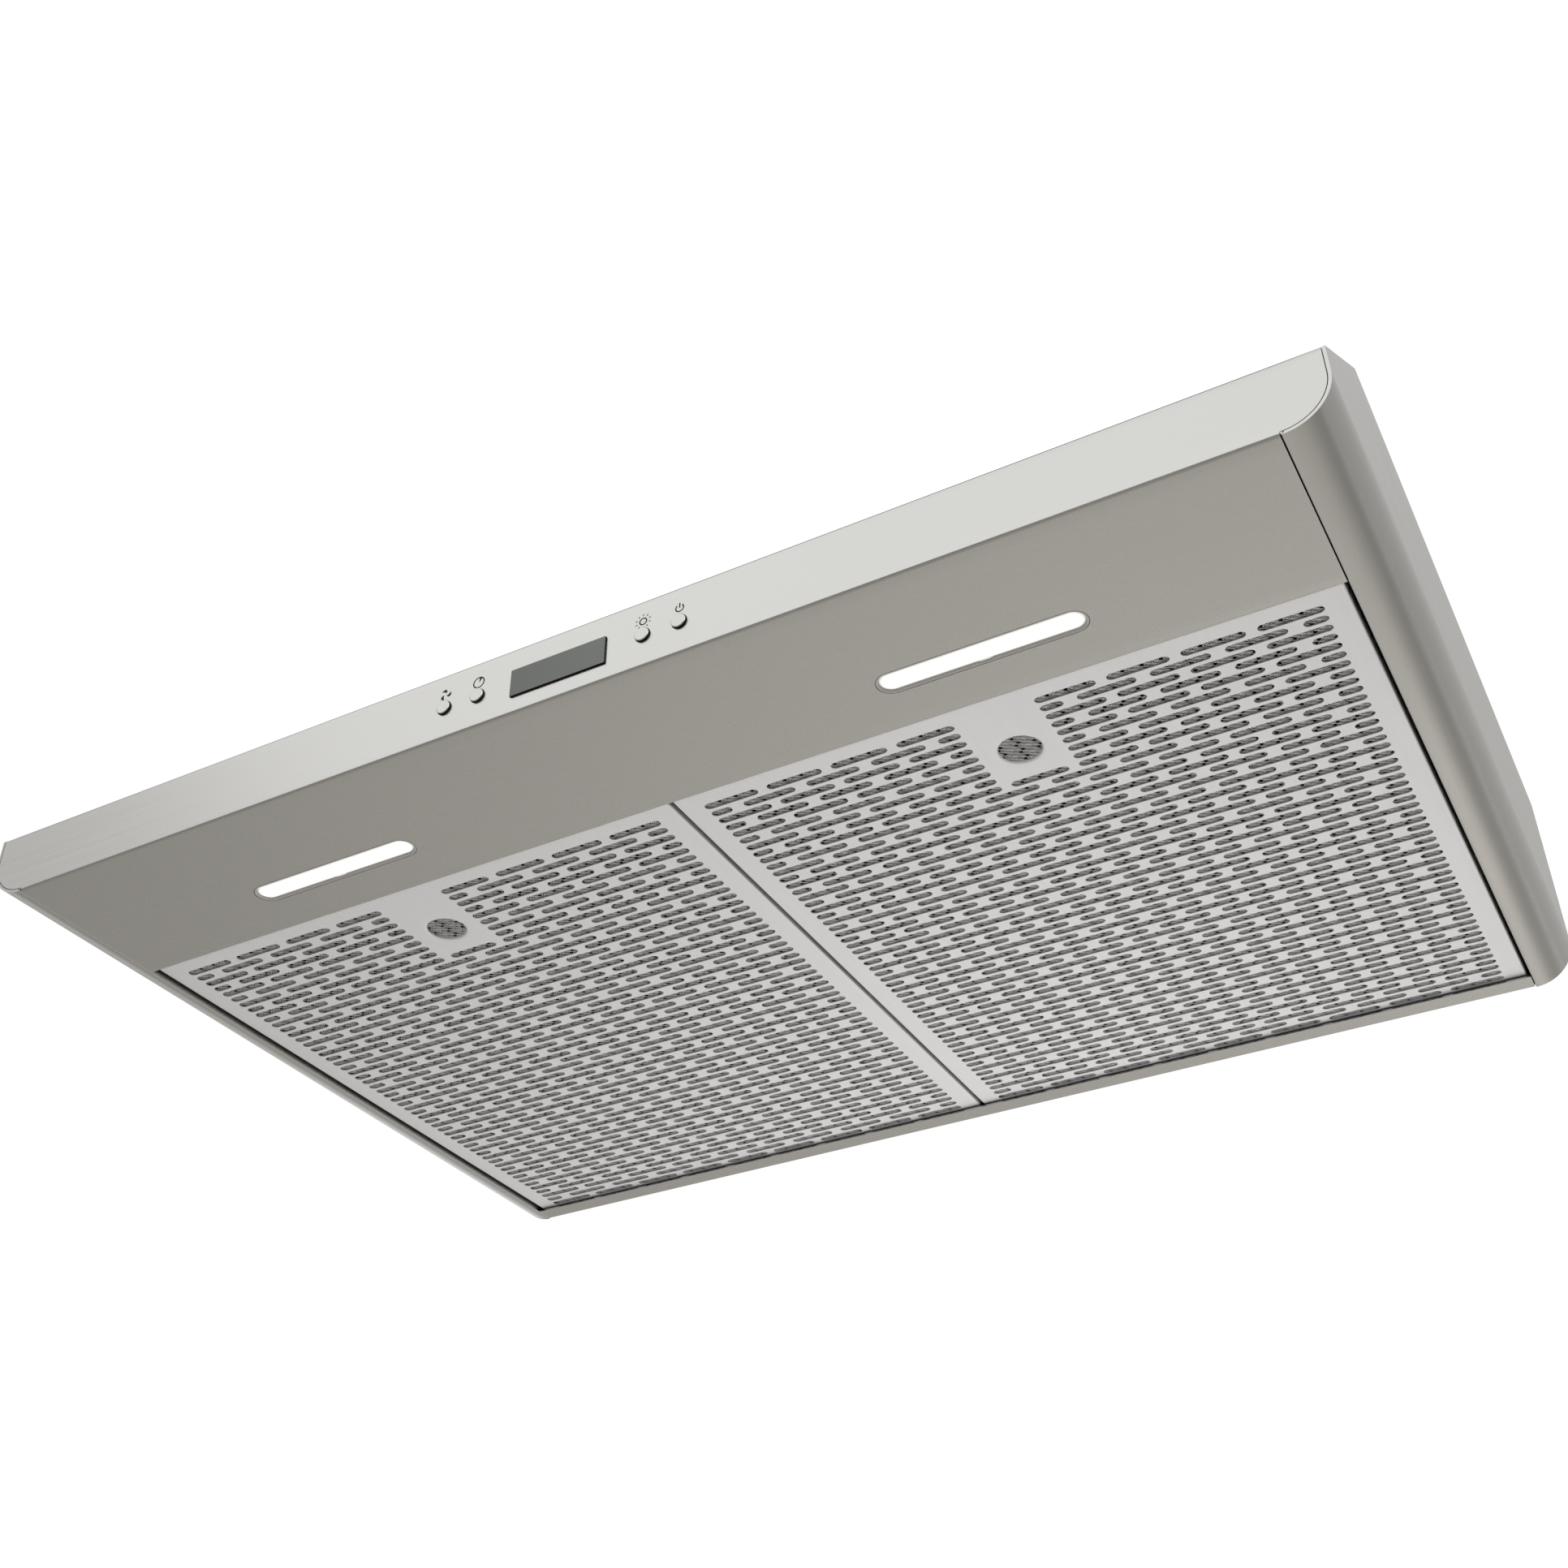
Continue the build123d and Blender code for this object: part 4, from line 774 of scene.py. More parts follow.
def pan_patches(filters, half, front, rear, top):
    """Slotted face, margins, finger hole with its rolled lip, rounded edges and upturned walls of a pan.

    The face is a brickwork of slot cells. The lip is a quarter circle carried round the finger hole, and
    the edges are a quarter circle and a straight wall carried round the face.
    """
    pitch, along = filters.pitch_across, filters.pitch_along
    bend = filters.edge_bend
    every = np.arange(filters.rows)
    even, odd = every[every % 2 == 0], every[every % 2 == 1]
    upper, lower = every < FINGER_ROWS, every >= FINGER_ROWS
    quarter = pitch / 4
    full = np.arange(-4, 5) * pitch
    brick = (np.arange(-4, 4) + 0.5) * pitch
    full_places = np.concatenate([slot_places(filters, full[full != 0], even[upper[even]]),
                                  slot_places(filters, full, even[lower[even]])])
    brick_places = np.concatenate([slot_places(filters, brick[abs(brick) > pitch], odd[upper[odd]]),
                                   slot_places(filters, brick, odd[lower[odd]])])
    outer_right = np.array([4 * pitch + quarter])
    inner_right = np.array([pitch - quarter])
    right_places = np.concatenate([slot_places(filters, outer_right, odd),
                                   slot_places(filters, -inner_right, odd[upper[odd]])])
    left_places = np.concatenate([slot_places(filters, -outer_right, odd),
                                  slot_places(filters, inner_right, odd[upper[odd]])])
    patches = [
        slot_cells(filters, full_places, pitch / 2, filters.full_slot),
        slot_cells(filters, brick_places, pitch / 2, filters.offset_slot),
        slot_cells(filters, right_places, quarter, filters.end_slot, SHORT_SHIFT),
        slot_cells(filters, left_places, quarter, filters.end_slot, -SHORT_SHIFT),
    ]
    step = pitch / 8
    columns = np.arange(-36, 37) * step
    edge_x, first, last = half - bend, front + bend, rear - bend
    start = FIRST_ROW - along / 2
    rows = start + np.arange(4 * filters.rows + 1) * along / 4
    wide = np.concatenate([[-edge_x], columns, [edge_x]])
    for across, depths in ((wide, (first, start)), (wide, (rows[-1], last)),
                           ((-edge_x, columns[0]), rows), ((columns[-1], edge_x), rows)):
        patches.append(level_patch(np.stack(np.meshgrid(across, depths), -1), flip=True))
    flat_count = len(patches)
    rim = cell_rim(np.linspace(-0.5, 0.5, 9) * pitch, rows[:4 * FINGER_ROWS + 1])
    collar = filters.finger_radius + filters.finger_lip
    plan = drawn_in(rim, (0.0, FINGER_DEPTH), 0.0, collar, 5)
    patches.append(level_patch(plan, wrap=True, flip=True))
    hole = plan[-1] - (0.0, FINGER_DEPTH)
    turn = quarter_turn(7)[:, None, None]
    radius = collar - filters.finger_lip * np.sin(turn)
    rise = filters.finger_lip * (1 - np.cos(turn)) * np.ones(len(hole))[None, :, None]
    lip = np.concatenate([hole * radius / collar + (0.0, FINGER_DEPTH), rise], -1)
    patches.append(surface(lip, wrap=True, flip=True))
    border = cell_rim(wide, np.concatenate([[first], rows, [last]]))
    away = np.stack([(border[:, 0] >= edge_x - MERGE) * 1.0 - (border[:, 0] <= -edge_x + MERGE),
                     (border[:, 1] >= last - MERGE) * 1.0 - (border[:, 1] <= first + MERGE)], -1)
    out = np.concatenate([np.sin(quarter_turn(5)), [1.0]])[:, None, None] * bend
    lift = np.concatenate([bend * (1 - np.cos(quarter_turn(5))), [top]])
    skirt = border + away * out
    skirt = np.concatenate([skirt, np.broadcast_to(lift[:, None, None], skirt.shape[:2] + (1,))], -1)
    patches.append(surface(skirt, wrap=True))
    smooth = [False] * flat_count + [True, True, True]
    return patches, smooth


def ribbon(path, half_width, height):
    """Closed three-sided strands along several paths.

    path is (strands, points, 3). Each strand's section is a flat underside of the given half width, across
    X, with a ridge of the given height above it. The section shrinks to a point at both ends.
    """
    count, length = path.shape[0], path.shape[1] + 2
    tip = np.array([0, 0, height / 3])
    path = np.concatenate([path[:, :1] + tip, path, path[:, -1:] + tip], 1)
    share = np.ones(length)
    share[[0, -1]] = 0
    section = np.array([[-half_width, 0, 0], [half_width, 0, 0], [0, 0, height]])
    points = path[:, :, None, :] + section * share[:, None, None]
    ring = grid_faces(length, 3, wrap=True)[:, ::-1]
    every = ring[None] + (np.arange(count) * length * 3)[:, None, None]
    return points.reshape(-1, 3), every.reshape(-1, 4)


# Where the fine strands cross one repeat of the mesh; the widest gap is the open eye of the mesh.
STRAND_SHARES = (0.19, 0.34, 0.45, 0.59, 0.72, 0.84)
STRAND_SLANT = math.radians(42)
STRAND_HEIGHT = 0.25 * MM
RIB_HEIGHT = 0.3 * MM
RIB_LIFT = 0.1 * MM
# The upper layers: height of the buckles, their lengths across and along, and the thickness.
BUCKLE = 0.4 * MM
BUCKLE_LENGTHS = (9 * MM, 11 * MM)
LAYERS_THICK = 0.6 * MM


def mesh_patches(filters, half, front, rear):
    """Lowest layer of expanded mesh: fine zigzag strands tied by slanting ribs.

    A strand runs from front to rear and steps sideways to and fro, once each repeat. Its phase advances
    from strand to strand, so that the open eyes line up. A rib runs straight from one eye to the next.
    """
    across, along = filters.mesh_across, filters.mesh_along
    swing = along * 0.5 / math.tan(STRAND_SLANT)
    steps = np.arange(math.floor(front / (along / 2)) + 1, math.ceil(rear / (along / 2)))
    depth = steps * along / 2
    zigzag = np.where(steps % 2 == 0, swing / 2, -swing / 2)
    repeats = np.arange(-math.ceil(half / across) - 1, math.ceil(half / across) + 2)
    base = (repeats[:, None] + np.array(STRAND_SHARES)[None, :]).ravel() * across
    base = base[abs(base) < half - swing / 2]
    path = np.stack([base[:, None] + zigzag[None, :],
                     np.broadcast_to(depth, (len(base), len(depth))),
                     np.zeros((len(base), len(depth)))], -1)
    strands = ribbon(path, filters.strand / 2, STRAND_HEIGHT)
    return strands, rib_patch(filters, half, front, rear)


def rib_patch(filters, half, front, rear):
    """Straight ribs at the mesh's own slant, cut off at the pan's walls."""
    across, along = filters.mesh_across, filters.mesh_along
    slope = along / across
    offsets = np.arange(math.floor((front - half * slope) / (along / 2)),
                        math.ceil((rear + half * slope) / (along / 2)))
    start = offsets * along / 2 + along * 0.25
    left = np.maximum(-half, (front - start) / slope)
    right = np.minimum(half, (rear - start) / slope)
    keep = right - left > 2 * across
    left, right, start = left[keep], right[keep], start[keep]
    share = np.linspace(0, 1, 2)[None, :]
    x = left[:, None] + (right - left)[:, None] * share
    path = np.stack([x, start[:, None] + x * slope, np.full(x.shape, RIB_LIFT)], -1)
    return ribbon(path, filters.rib / 2, RIB_HEIGHT)


def shifted(patch, offset):
    """A patch moved by an offset."""
    points, faces = patch
    return points + np.asarray(offset), faces


def buckled_sheet(middle, half, front, rear, height):
    """Upper mesh layers as one thin closed sheet that buckles a little.

    Height = base + sine across x sine along; its thickness falls to nothing at the border, where the
    lower and the upper side meet.
    """
    x, depth = np.meshgrid(np.linspace(-half, half, 57), np.linspace(front, rear, 57))
    wave = BUCKLE * np.sin(x / BUCKLE_LENGTHS[0]) * np.sin(depth / BUCKLE_LENGTHS[1])
    thick = np.zeros(x.shape)
    thick[1:-1, 1:-1] = LAYERS_THICK
    lower = np.stack([middle + x, FRONT + depth, height + wave], -1)
    return [surface(lower, flip=True), surface(lower + thick[..., None] * (0, 0, 1))]


class HOOD_OT_filter_pans(bpy.types.Operator):
    """Two slotted aluminium pans with finger holes."""

    bl_idname = "range_hood.filter_pans"
    bl_label = "Filter pans"

    def execute(self, context):
        filters = context.scene.range_hood.filters
        for name, _ in SIDES:
            middle, half, front, rear, floor, top = filter_frame(name)
            patches, smooth = pan_patches(filters, half, front, rear, top - floor)
            patches = [shifted(patch, (middle, FRONT, floor)) for patch in patches]
            piece = new_piece("filter_pan_" + name, patches, [finish("filter_aluminium")], smooth=smooth)
            give_wall(piece, filters.sheet)
            settle(piece, "filter_" + name, "filter_aluminium", "filter_face_" + name)
        return {"FINISHED"}


class HOOD_OT_filter_meshes(bpy.types.Operator):
    """Layers of expanded aluminium mesh inside the pans."""

    bl_idname = "range_hood.filter_meshes"
    bl_label = "Filter meshes"

    def execute(self, context):
        filters = context.scene.range_hood.filters
        for name, _ in SIDES:
            node = "filter_mesh_" + name
            low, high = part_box(node)
            middle, half = box_middle(node, X), box_half(node, X)
            front, rear = low.y - FRONT, high.y - FRONT
            strands, ribs = mesh_patches(filters, half, front, rear)
            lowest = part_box("filter_face_" + name)[0].z + filters.sheet + filters.mesh_rise
            patches = [shifted(patch, (middle, FRONT, lowest)) for patch in (strands, ribs)]
            patches += buckled_sheet(middle, half, front, rear, (low.z + high.z) / 2)
            piece = new_piece("expanded_mesh_" + name, patches, [finish("mesh_strand"), finish("deep_mesh")],
                              finish_of=[0, 0, 1, 1], smooth=[False, False, True, True])
            settle(piece, "filter_" + name, "filter_aluminium", node)
        return {"FINISHED"}


# ---- Lamps ----
def capsule_walk(reach, count_straight, count_round):
    """Walk round a capsule: (nearest point of the middle line, outward direction) at every step."""
    line = np.linspace(-reach, reach, count_straight + 1)
    right = np.linspace(-math.pi / 2, math.pi / 2, count_round + 1)[1:-1]
    low = np.stack([line, line * 0 - 1], -1)
    high = np.stack([line[::-1], line * 0 + 1], -1)
    mid = np.concatenate([low[:, 0], np.full(len(right), reach), high[:, 0], np.full(len(right), -reach)])
    out_right = np.stack([np.cos(right), np.sin(right)], -1)
    out = np.concatenate([low * (0, 1), out_right, high * (0, 1), -out_right])
    return mid, out


# Finger tab of a lens: how far it stands out, its half length, and the length of its sloping ends.
LENS_TAB = 0.8 * MM
TAB_HALF = 2.9 * MM
TAB_SLOPE = 0.6 * MM
# Height of a lens's seat in its lamp body, and the body's wall.
LENS_SEAT = 2.9 * MM
LAMP_WALL = 1.2 * MM


def capsule_surface(centre, reach, profile, tab):
    """A (radius, height) profile carried round a capsule; tab adds to each radius, row by row.

    Point = middle line + (profile radius + tab share x tab shape) x outward direction, at the profile's
    height. The tab shape is 1 near the middle of the rear side and falls smoothly to 0.
    """
    mid, out = capsule_walk(reach, 44, 20)
    near = np.clip((TAB_HALF - abs(mid)) / TAB_SLOPE, 0, 1)
    bump = near * near * (3 - 2 * near) * (out[:, 1] > 0.99)
    radius = profile[:, 0, None] + np.asarray(tab)[:, None] * bump[None, :]
    x = centre[0] + mid[None, :] + radius * out[None, :, 0]
    y = centre[1] + radius * out[None, :, 1]
    z = np.broadcast_to(profile[:, 1, None], x.shape)
    return np.stack([x, y, z], -1)


def lamp_body_profile(rim, lens, floor, top):
    """Section of a lamp body as (radius, height): roof, flange, rim and the pocket that holds the lens."""
    seat, wall = LENS_SEAT, LAMP_WALL
    return np.array([
        (0, top), (rim - 1 * MM, top), (rim, top - 1 * MM), (rim, 2.5 * MM),
        (rim + 2.5 * MM, 2.5 * MM), (rim + 2.5 * MM, 1.0 * MM), (rim, 1.0 * MM), (rim, 0.15 * MM),
        (rim - 0.06 * MM, 0.04 * MM), (rim - 0.15 * MM, 0), (rim - 0.7 * MM, 0.04 * MM),
        (lens + 0.3 * MM, floor - 0.15 * MM), (lens + 0.1 * MM, floor + 0.1 * MM), (lens + 0.1 * MM, seat),
        (lens - wall, seat), (lens - wall, top - wall), (0, top - wall)])


def lamp_cover_profile(lens, floor):
    """Section of a lens as (radius, height): back, side, rounded edge and a face sunk towards its middle."""
    back = LENS_SEAT - 0.02 * MM
    return np.array([
        (0, back), (lens, back), (lens, floor + 0.5 * MM), (lens - 0.15 * MM, floor + 0.15 * MM),
        (lens - 0.5 * MM, floor), (lens - 2 * MM, floor - 0.05 * MM), (0, floor - 0.1 * MM)])


# How much of the tab each point of the two sections takes.
BODY_TAB = [0] * 11 + [LENS_TAB] * 3 + [0] * 3
COVER_TAB = [0] + [LENS_TAB] * 4 + [0, 0]


class HOOD_OT_lamps(bpy.types.Operator):
    """Two strip lamps: moulded body with a flush rim, and a frosted lens sunk into it."""

    bl_idname = "range_hood.lamps"
    bl_label = "Lamps"

    def execute(self, context):
        controls = context.scene.range_hood.controls
        rim, lens = controls.rim_width / 2, controls.lens_width / 2
        reach = (controls.lamp_length - controls.rim_width) / 2
        floor = controls.lens_floor
        for name, _ in SIDES:
            node = "light_housing_" + name
            centre = (box_middle(node, X), FRONT + LAMP_DEPTH)
            body = lamp_body_profile(rim, lens, floor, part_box(node)[1].z)
            patch = surface(capsule_surface(centre, reach, body, BODY_TAB), wrap=True, flip=True)
            piece = new_piece("lamp_body_" + name, [patch], [finish("grey_moulding")])
            break_edges(piece, 0.08 * MM, 1)
            settle(piece, "hood", "grey_moulding", node)
            cover = lamp_cover_profile(lens, floor)
            patch = surface(capsule_surface(centre, reach, cover, COVER_TAB), wrap=True, flip=True)
            piece = new_piece("lamp_cover_" + name, [patch], [finish("frosted_lens")])
            settle(piece, "hood", "frosted_lens", "light_lens_" + name)
        return {"FINISHED"}


# ---- Buttons, display and symbols ----
TURN_STEPS = 48


def turned(profile, centre):
    """A (radius, y) profile turned about an axis along Y through centre (x, z)."""
    angle = np.linspace(0, 2 * math.pi, TURN_STEPS, endpoint=False)
    x = centre[0] + profile[:, 0, None] * np.cos(angle)
    z = centre[1] + profile[:, 0, None] * np.sin(angle)
    return np.stack([x, np.broadcast_to(profile[:, 1, None], x.shape), z], -1)


# Depths of the two sides of a button's flange behind the upright face.
FLANGE_DEPTHS = (1.3 * MM, 2.3 * MM)


class HOOD_OT_buttons(bpy.types.Operator):
    """Four round push buttons: brushed cap on a dark moulded body."""

    bl_idname = "range_hood.buttons"
    bl_label = "Buttons"

    def execute(self, context):
        controls = context.scene.range_hood.controls
        radius, soft = controls.button_radius, controls.button_round
        turn = quarter_turn(6)
        for name, centre in zip(BUTTONS, button_places()):
            low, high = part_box("button_" + name)
            edge = np.stack([radius - soft + soft * np.sin(turn), low.y + soft * (1 - np.cos(turn))], -1)
            dish = np.array([(0, low.y + 0.06 * MM), (radius * 0.4, low.y + 0.045 * MM),
                             (radius * 0.7, low.y + 0.015 * MM)])
            flange, back = FRONT + FLANGE_DEPTHS[0], FRONT + FLANGE_DEPTHS[1]
            body = np.array([edge[-1], (radius, flange), (radius + 1 * MM, flange), (radius + 1 * MM, back),
                             (2 * MM, back), (2 * MM, high.y), (0, high.y)])
            cap = np.concatenate([dish, edge])
            patches = [surface(turned(part, centre), wrap=True, flip=True) for part in (cap, body)]
            finishes = [finish("button_metal"), finish("black_moulding")]
            piece = new_piece("push_button_" + name, patches, finishes, finish_of=[0, 1])
            break_edges(piece, 0.06 * MM, 1)
            settle(piece, name + "_button", "button_metal", "button_" + name)
        return {"FINISHED"}


# Corner radius of the display pane, the broken edge of its face, and the depth where its flange begins.
PANE_CORNER = 0.5 * MM
PANE_EDGE = 0.2 * MM
PANE_FLANGE = 1 * MM


def framed(half_x, half_z, radius, inset, y, centre):
    """Rounded rectangles, one for each inset, as a surface from ring to ring.

    Each is the outline of points one corner radius from a smaller rectangle; both shrink with the inset.
    """
    angle = np.linspace(0, 2 * math.pi, 33)[:-1] + math.pi / 32
    sign = np.stack([np.sign(np.cos(angle)), np.sign(np.sin(angle))], -1)
    out = np.stack([np.cos(angle), np.sin(angle)], -1)
    inset, y = np.asarray(inset)[:, None], np.asarray(y)[:, None]
    corner = np.maximum(radius - inset, 0)
    x = centre[0] + sign[:, 0] * np.maximum(half_x - inset - corner, 0) + corner * out[:, 0]
    z = centre[1] + sign[:, 1] * np.maximum(half_z - inset - corner, 0) + corner * out[:, 1]
    return np.stack([x, np.broadcast_to(y, x.shape), z], -1)


class HOOD_OT_display(bpy.types.Operator):
    """Smoked display window with blacked edges, proud of the upright face."""

    bl_idname = "range_hood.display"
    bl_label = "Display window"

    def execute(self, context):
        node = "display_window"
        low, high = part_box(node)
        centre = (box_middle(node, X), box_middle(node, Z))
        half = (box_half(node, X), box_half(node, Z))
        pane = (half[0] - 1.5 * MM, half[1] - 1 * MM)
        front, behind = low.y, FRONT + PANE_FLANGE
        face = framed(*pane, PANE_CORNER, [PANE_EDGE, pane[1]], [front, front], centre)
        sides = framed(*pane, PANE_CORNER, [0, 0, 0.06 * MM, PANE_EDGE],
                       [behind, front + PANE_EDGE, front + 0.06 * MM, front], centre)
        flange = framed(*half, PANE_CORNER, [half[1], 0, 0], [high.y, high.y, behind], centre)
        step = np.stack([framed(*half, PANE_CORNER, [0], [behind], centre)[0], sides[0]])
        patches = [surface(part, wrap=True) for part in (flange, step, sides, face)]
        piece = new_piece("display_pane", patches, [finish("smoked_window"), finish("black_moulding")],
                          finish_of=[1, 1, 1, 0], smooth=False)
        settle(piece, "hood", "smoked_window", node)
        return {"FINISHED"}


INK_THICKNESS = 0.04 * MM


def arc_band(centre, inner, outer, start, end, count=40):
    """Flat band between two radii and two angles, in (x, z); angles in degrees from +X."""
    angle = np.radians(np.linspace(start, end, count))
    radius = np.linspace(inner, outer, 2)[:, None]
    return np.stack([centre[0] + radius * np.cos(angle), centre[1] + radius * np.sin(angle)], -1)


def stroke(centre, start, end, width, end_width=None):
    """Flat straight stroke between two points given from centre, tapering to end_width."""
    start, end = np.asarray(start, float), np.asarray(end, float)
    way = (end - start) / np.linalg.norm(end - start)
    side = np.array([-way[1], way[0]])
    widths = np.array([width, width if end_width is None else end_width])
    ends = np.stack([start, end])
    aside = side * widths[:, None] / 2
    return np.stack([ends - aside, ends + aside]) + np.asarray(centre)


def fan_blade(centre, turn):
    """Blade of the fan symbol: a leaf that sweeps sideways as it leaves the hub."""
    share = np.linspace(0, 1, 12)
    radius = 0.9 * MM + share * 2.6 * MM
    middle = math.radians(turn) + share * 0.75
    half = 0.12 + 0.36 * np.sin(share * math.pi * 0.8) ** 1.2
    sides = np.stack([middle - half, middle + half])
    return np.stack([centre[0] + radius * np.cos(sides), centre[1] + radius * np.sin(sides)], -1)


def symbol_parts(name, centre, line):
    """Flat parts of one symbol, as grids of (x, z) points."""
    if name == "fan":
        return [fan_blade(centre, turn) for turn in (75, 195, 315)]
    if name == "timer":
        ring = arc_band(centre, 3.5 * MM - line, 3.5 * MM, 0, 360, 64)
        return [ring, stroke(centre, (0.2 * MM, 0.1 * MM), (1.1 * MM, 2.6 * MM), 0.2 * MM, 1.7 * MM)]
    if name == "light":
        rays = []
        for angle in np.radians(np.arange(10) * 36 + 18):
            near, far = ((r * math.cos(angle), r * math.sin(angle)) for r in (3.3 * MM, 4.5 * MM))
            rays.append(stroke(centre, near, far, 0.45 * MM))
        return [arc_band(centre, 2.25 * MM - line, 2.25 * MM, 0, 360, 48)] + rays
    opening = 38
    return [arc_band(centre, 2.5 * MM - line, 2.5 * MM, 90 + opening, 450 - opening, 40),
            stroke(centre, (0, 0.2 * MM), (0, 3.1 * MM), line)]


class HOOD_OT_symbols(bpy.types.Operator):
    """Printed fan, timer, light and power symbols above the buttons."""

    bl_idname = "range_hood.symbols"
    bl_label = "Symbols"

    def execute(self, context):
        controls = context.scene.range_hood.controls
        for name, (x, _) in zip(BUTTONS, button_places()):
            parts = symbol_parts(name, (x, controls.symbol_height), controls.symbol_line)
            patches = []
            for part in parts:
                face = np.full(part.shape[:2], FRONT - INK_THICKNESS)
                flat = np.stack([part[..., 0], face, part[..., 1]], -1)
                across = np.cross(flat[0, 1] - flat[0, 0], flat[1, 0] - flat[0, 0])
                patches.append(surface(flat, flip=across[1] > 0))
            piece = new_piece("symbol_" + name, patches, [finish("ink")], smooth=False)
            give_wall(piece, INK_THICKNESS)
            settle(piece, "hood", "black_moulding")
        return {"FINISHED"}


# ---- Carried-over nodes ----
class HOOD_OT_frame_finishes(bpy.types.Operator):
    """Gives every carried-over frame node the material of its record slot."""

    bl_idname = "range_hood.frame_finishes"
    bl_label = "Frame finishes"

    def execute(self, context):
        for part in frame["record"]["subparts"]:
            node = frame["nodes"][part["node"]]
            for slot in node.material_slots:
                slot.material = finish(part["material_slot"])
        return {"FINISHED"}


# ---- Stage ----
CAMERA_PLACE = Vector((0.4413, -0.83745, -0.5716))
CAMERA_AZIMUTH = math.radians(28.62)
CAMERA_ELEVATION = math.radians(35.77)
CAMERA_ROLL = math.radians(-0.176)
CAMERA_LENS = 44.18
FLOOR_DROP = 1.5


def make_camera():
    """Camera below and to the right of the front, looking up."""
    ahead = Vector((-math.sin(CAMERA_AZIMUTH) * math.cos(CAMERA_ELEVATION),
                    math.cos(CAMERA_AZIMUTH) * math.cos(CAMERA_ELEVATION), math.sin(CAMERA_ELEVATION)))
    right = ahead.cross(Vector((0, 0, 1))).normalized()
    up = right.cross(ahead)
    rolled_right = right * math.cos(CAMERA_ROLL) + up * math.sin(CAMERA_ROLL)
    rolled_up = rolled_right.cross(ahead)
    turn = Matrix((rolled_right, rolled_up, -ahead)).transposed().to_4x4()
    data = bpy.data.cameras.new("camera")
    data.lens = CAMERA_LENS
    data.sensor_width = 36.0
    data.clip_start = 0.01
    camera = bpy.data.objects.new("camera", data)
    camera.matrix_world = Matrix.Translation(CAMERA_PLACE) @ turn
    bpy.context.scene.collection.objects.link(camera)
    bpy.context.scene.camera = camera


# Painted light: the floor's colour grows paler along this level way, between these two distances in metres,
# up to the far colour.
FLOOR_WAY = (-0.45, 0.89, 0.0)
FLOOR_FADE = (3.5, 9.0)
FLOOR_FAR_PAINTED_LIGHT = (0.88, 0.88, 0.87, 1.0)


def make_floor(shade):
    """Round floor far below the hood: rings of a disc whose outermost one is 40 m away."""
    radius = np.concatenate([[0.0], np.geomspace(0.5, 40, 12)])[:, None]
    angle = np.linspace(0, 2 * math.pi, 72, endpoint=False)[None, :]
    points = np.stack([radius * np.cos(angle), radius * np.sin(angle), np.full((13, 72), -FLOOR_DROP)], -1)
    material, tree, shader, place = new_material("painted_studio_floor")
    speck = add_node(tree, "ShaderNodeTexNoise", inputs={
        "Vector": place, "Scale": 3.0, "Detail": 5.0}).outputs["Fac"]
    away = add_node(tree, "ShaderNodeVectorMath", {"operation": "DOT_PRODUCT"}, {
        0: place, 1: FLOOR_WAY}).outputs["Value"]
    sweep = add_node(tree, "ShaderNodeMapRange", {"interpolation_type": "SMOOTHSTEP"}, {
        "Value": away, "From Min": FLOOR_FADE[0], "From Max": FLOOR_FADE[1]}).outputs[0]
    tone = add_node(tree, "ShaderNodeValToRGB", inputs={"Fac": speck}, stops=[
        (0.3, toned(shade, 0.985)), (0.7, toned(shade, 1.015))]).outputs["Color"]
    # Painted light: the floor's tone blends into the pale far colour, far off along the level way.
    paler = add_node(tree, "ShaderNodeMix", {"data_type": "RGBA"}, {
        0: sweep, 6: tone, 7: FLOOR_FAR_PAINTED_LIGHT}).outputs[2]
    feed(tree, shader, {"Base Color": paler, "Roughness": 0.9, "Specular IOR Level": 0.1})
    floor = new_piece("floor", [surface(points, wrap=True)], [material])


# Radiance of the studio's white rear, of its brighter front, of the front's left end, of the shaded sides
# of the rear, and of the dimmer ceiling.
STUDIO_WHITE = (1.04, 1.04, 1.04, 1.0)
STUDIO_FRONT = (1.70, 1.69, 1.67, 1.0)
STUDIO_LEFT = (0.93, 0.91, 0.89, 1.0)
STUDIO_SHADE = (0.64, 0.63, 0.615, 1.0)
STUDIO_CEILING = (0.5, 0.5, 0.5, 1.0)
# The white sweep behind the hood: its level direction, the direction of its middle, and its half spread.
SWEEP_RIGHT = (0.8778, 0.479, 0.0)
SWEEP_AHEAD = (-0.3886, 0.7122, 0.5845)
SWEEP_SPREAD = 0.41


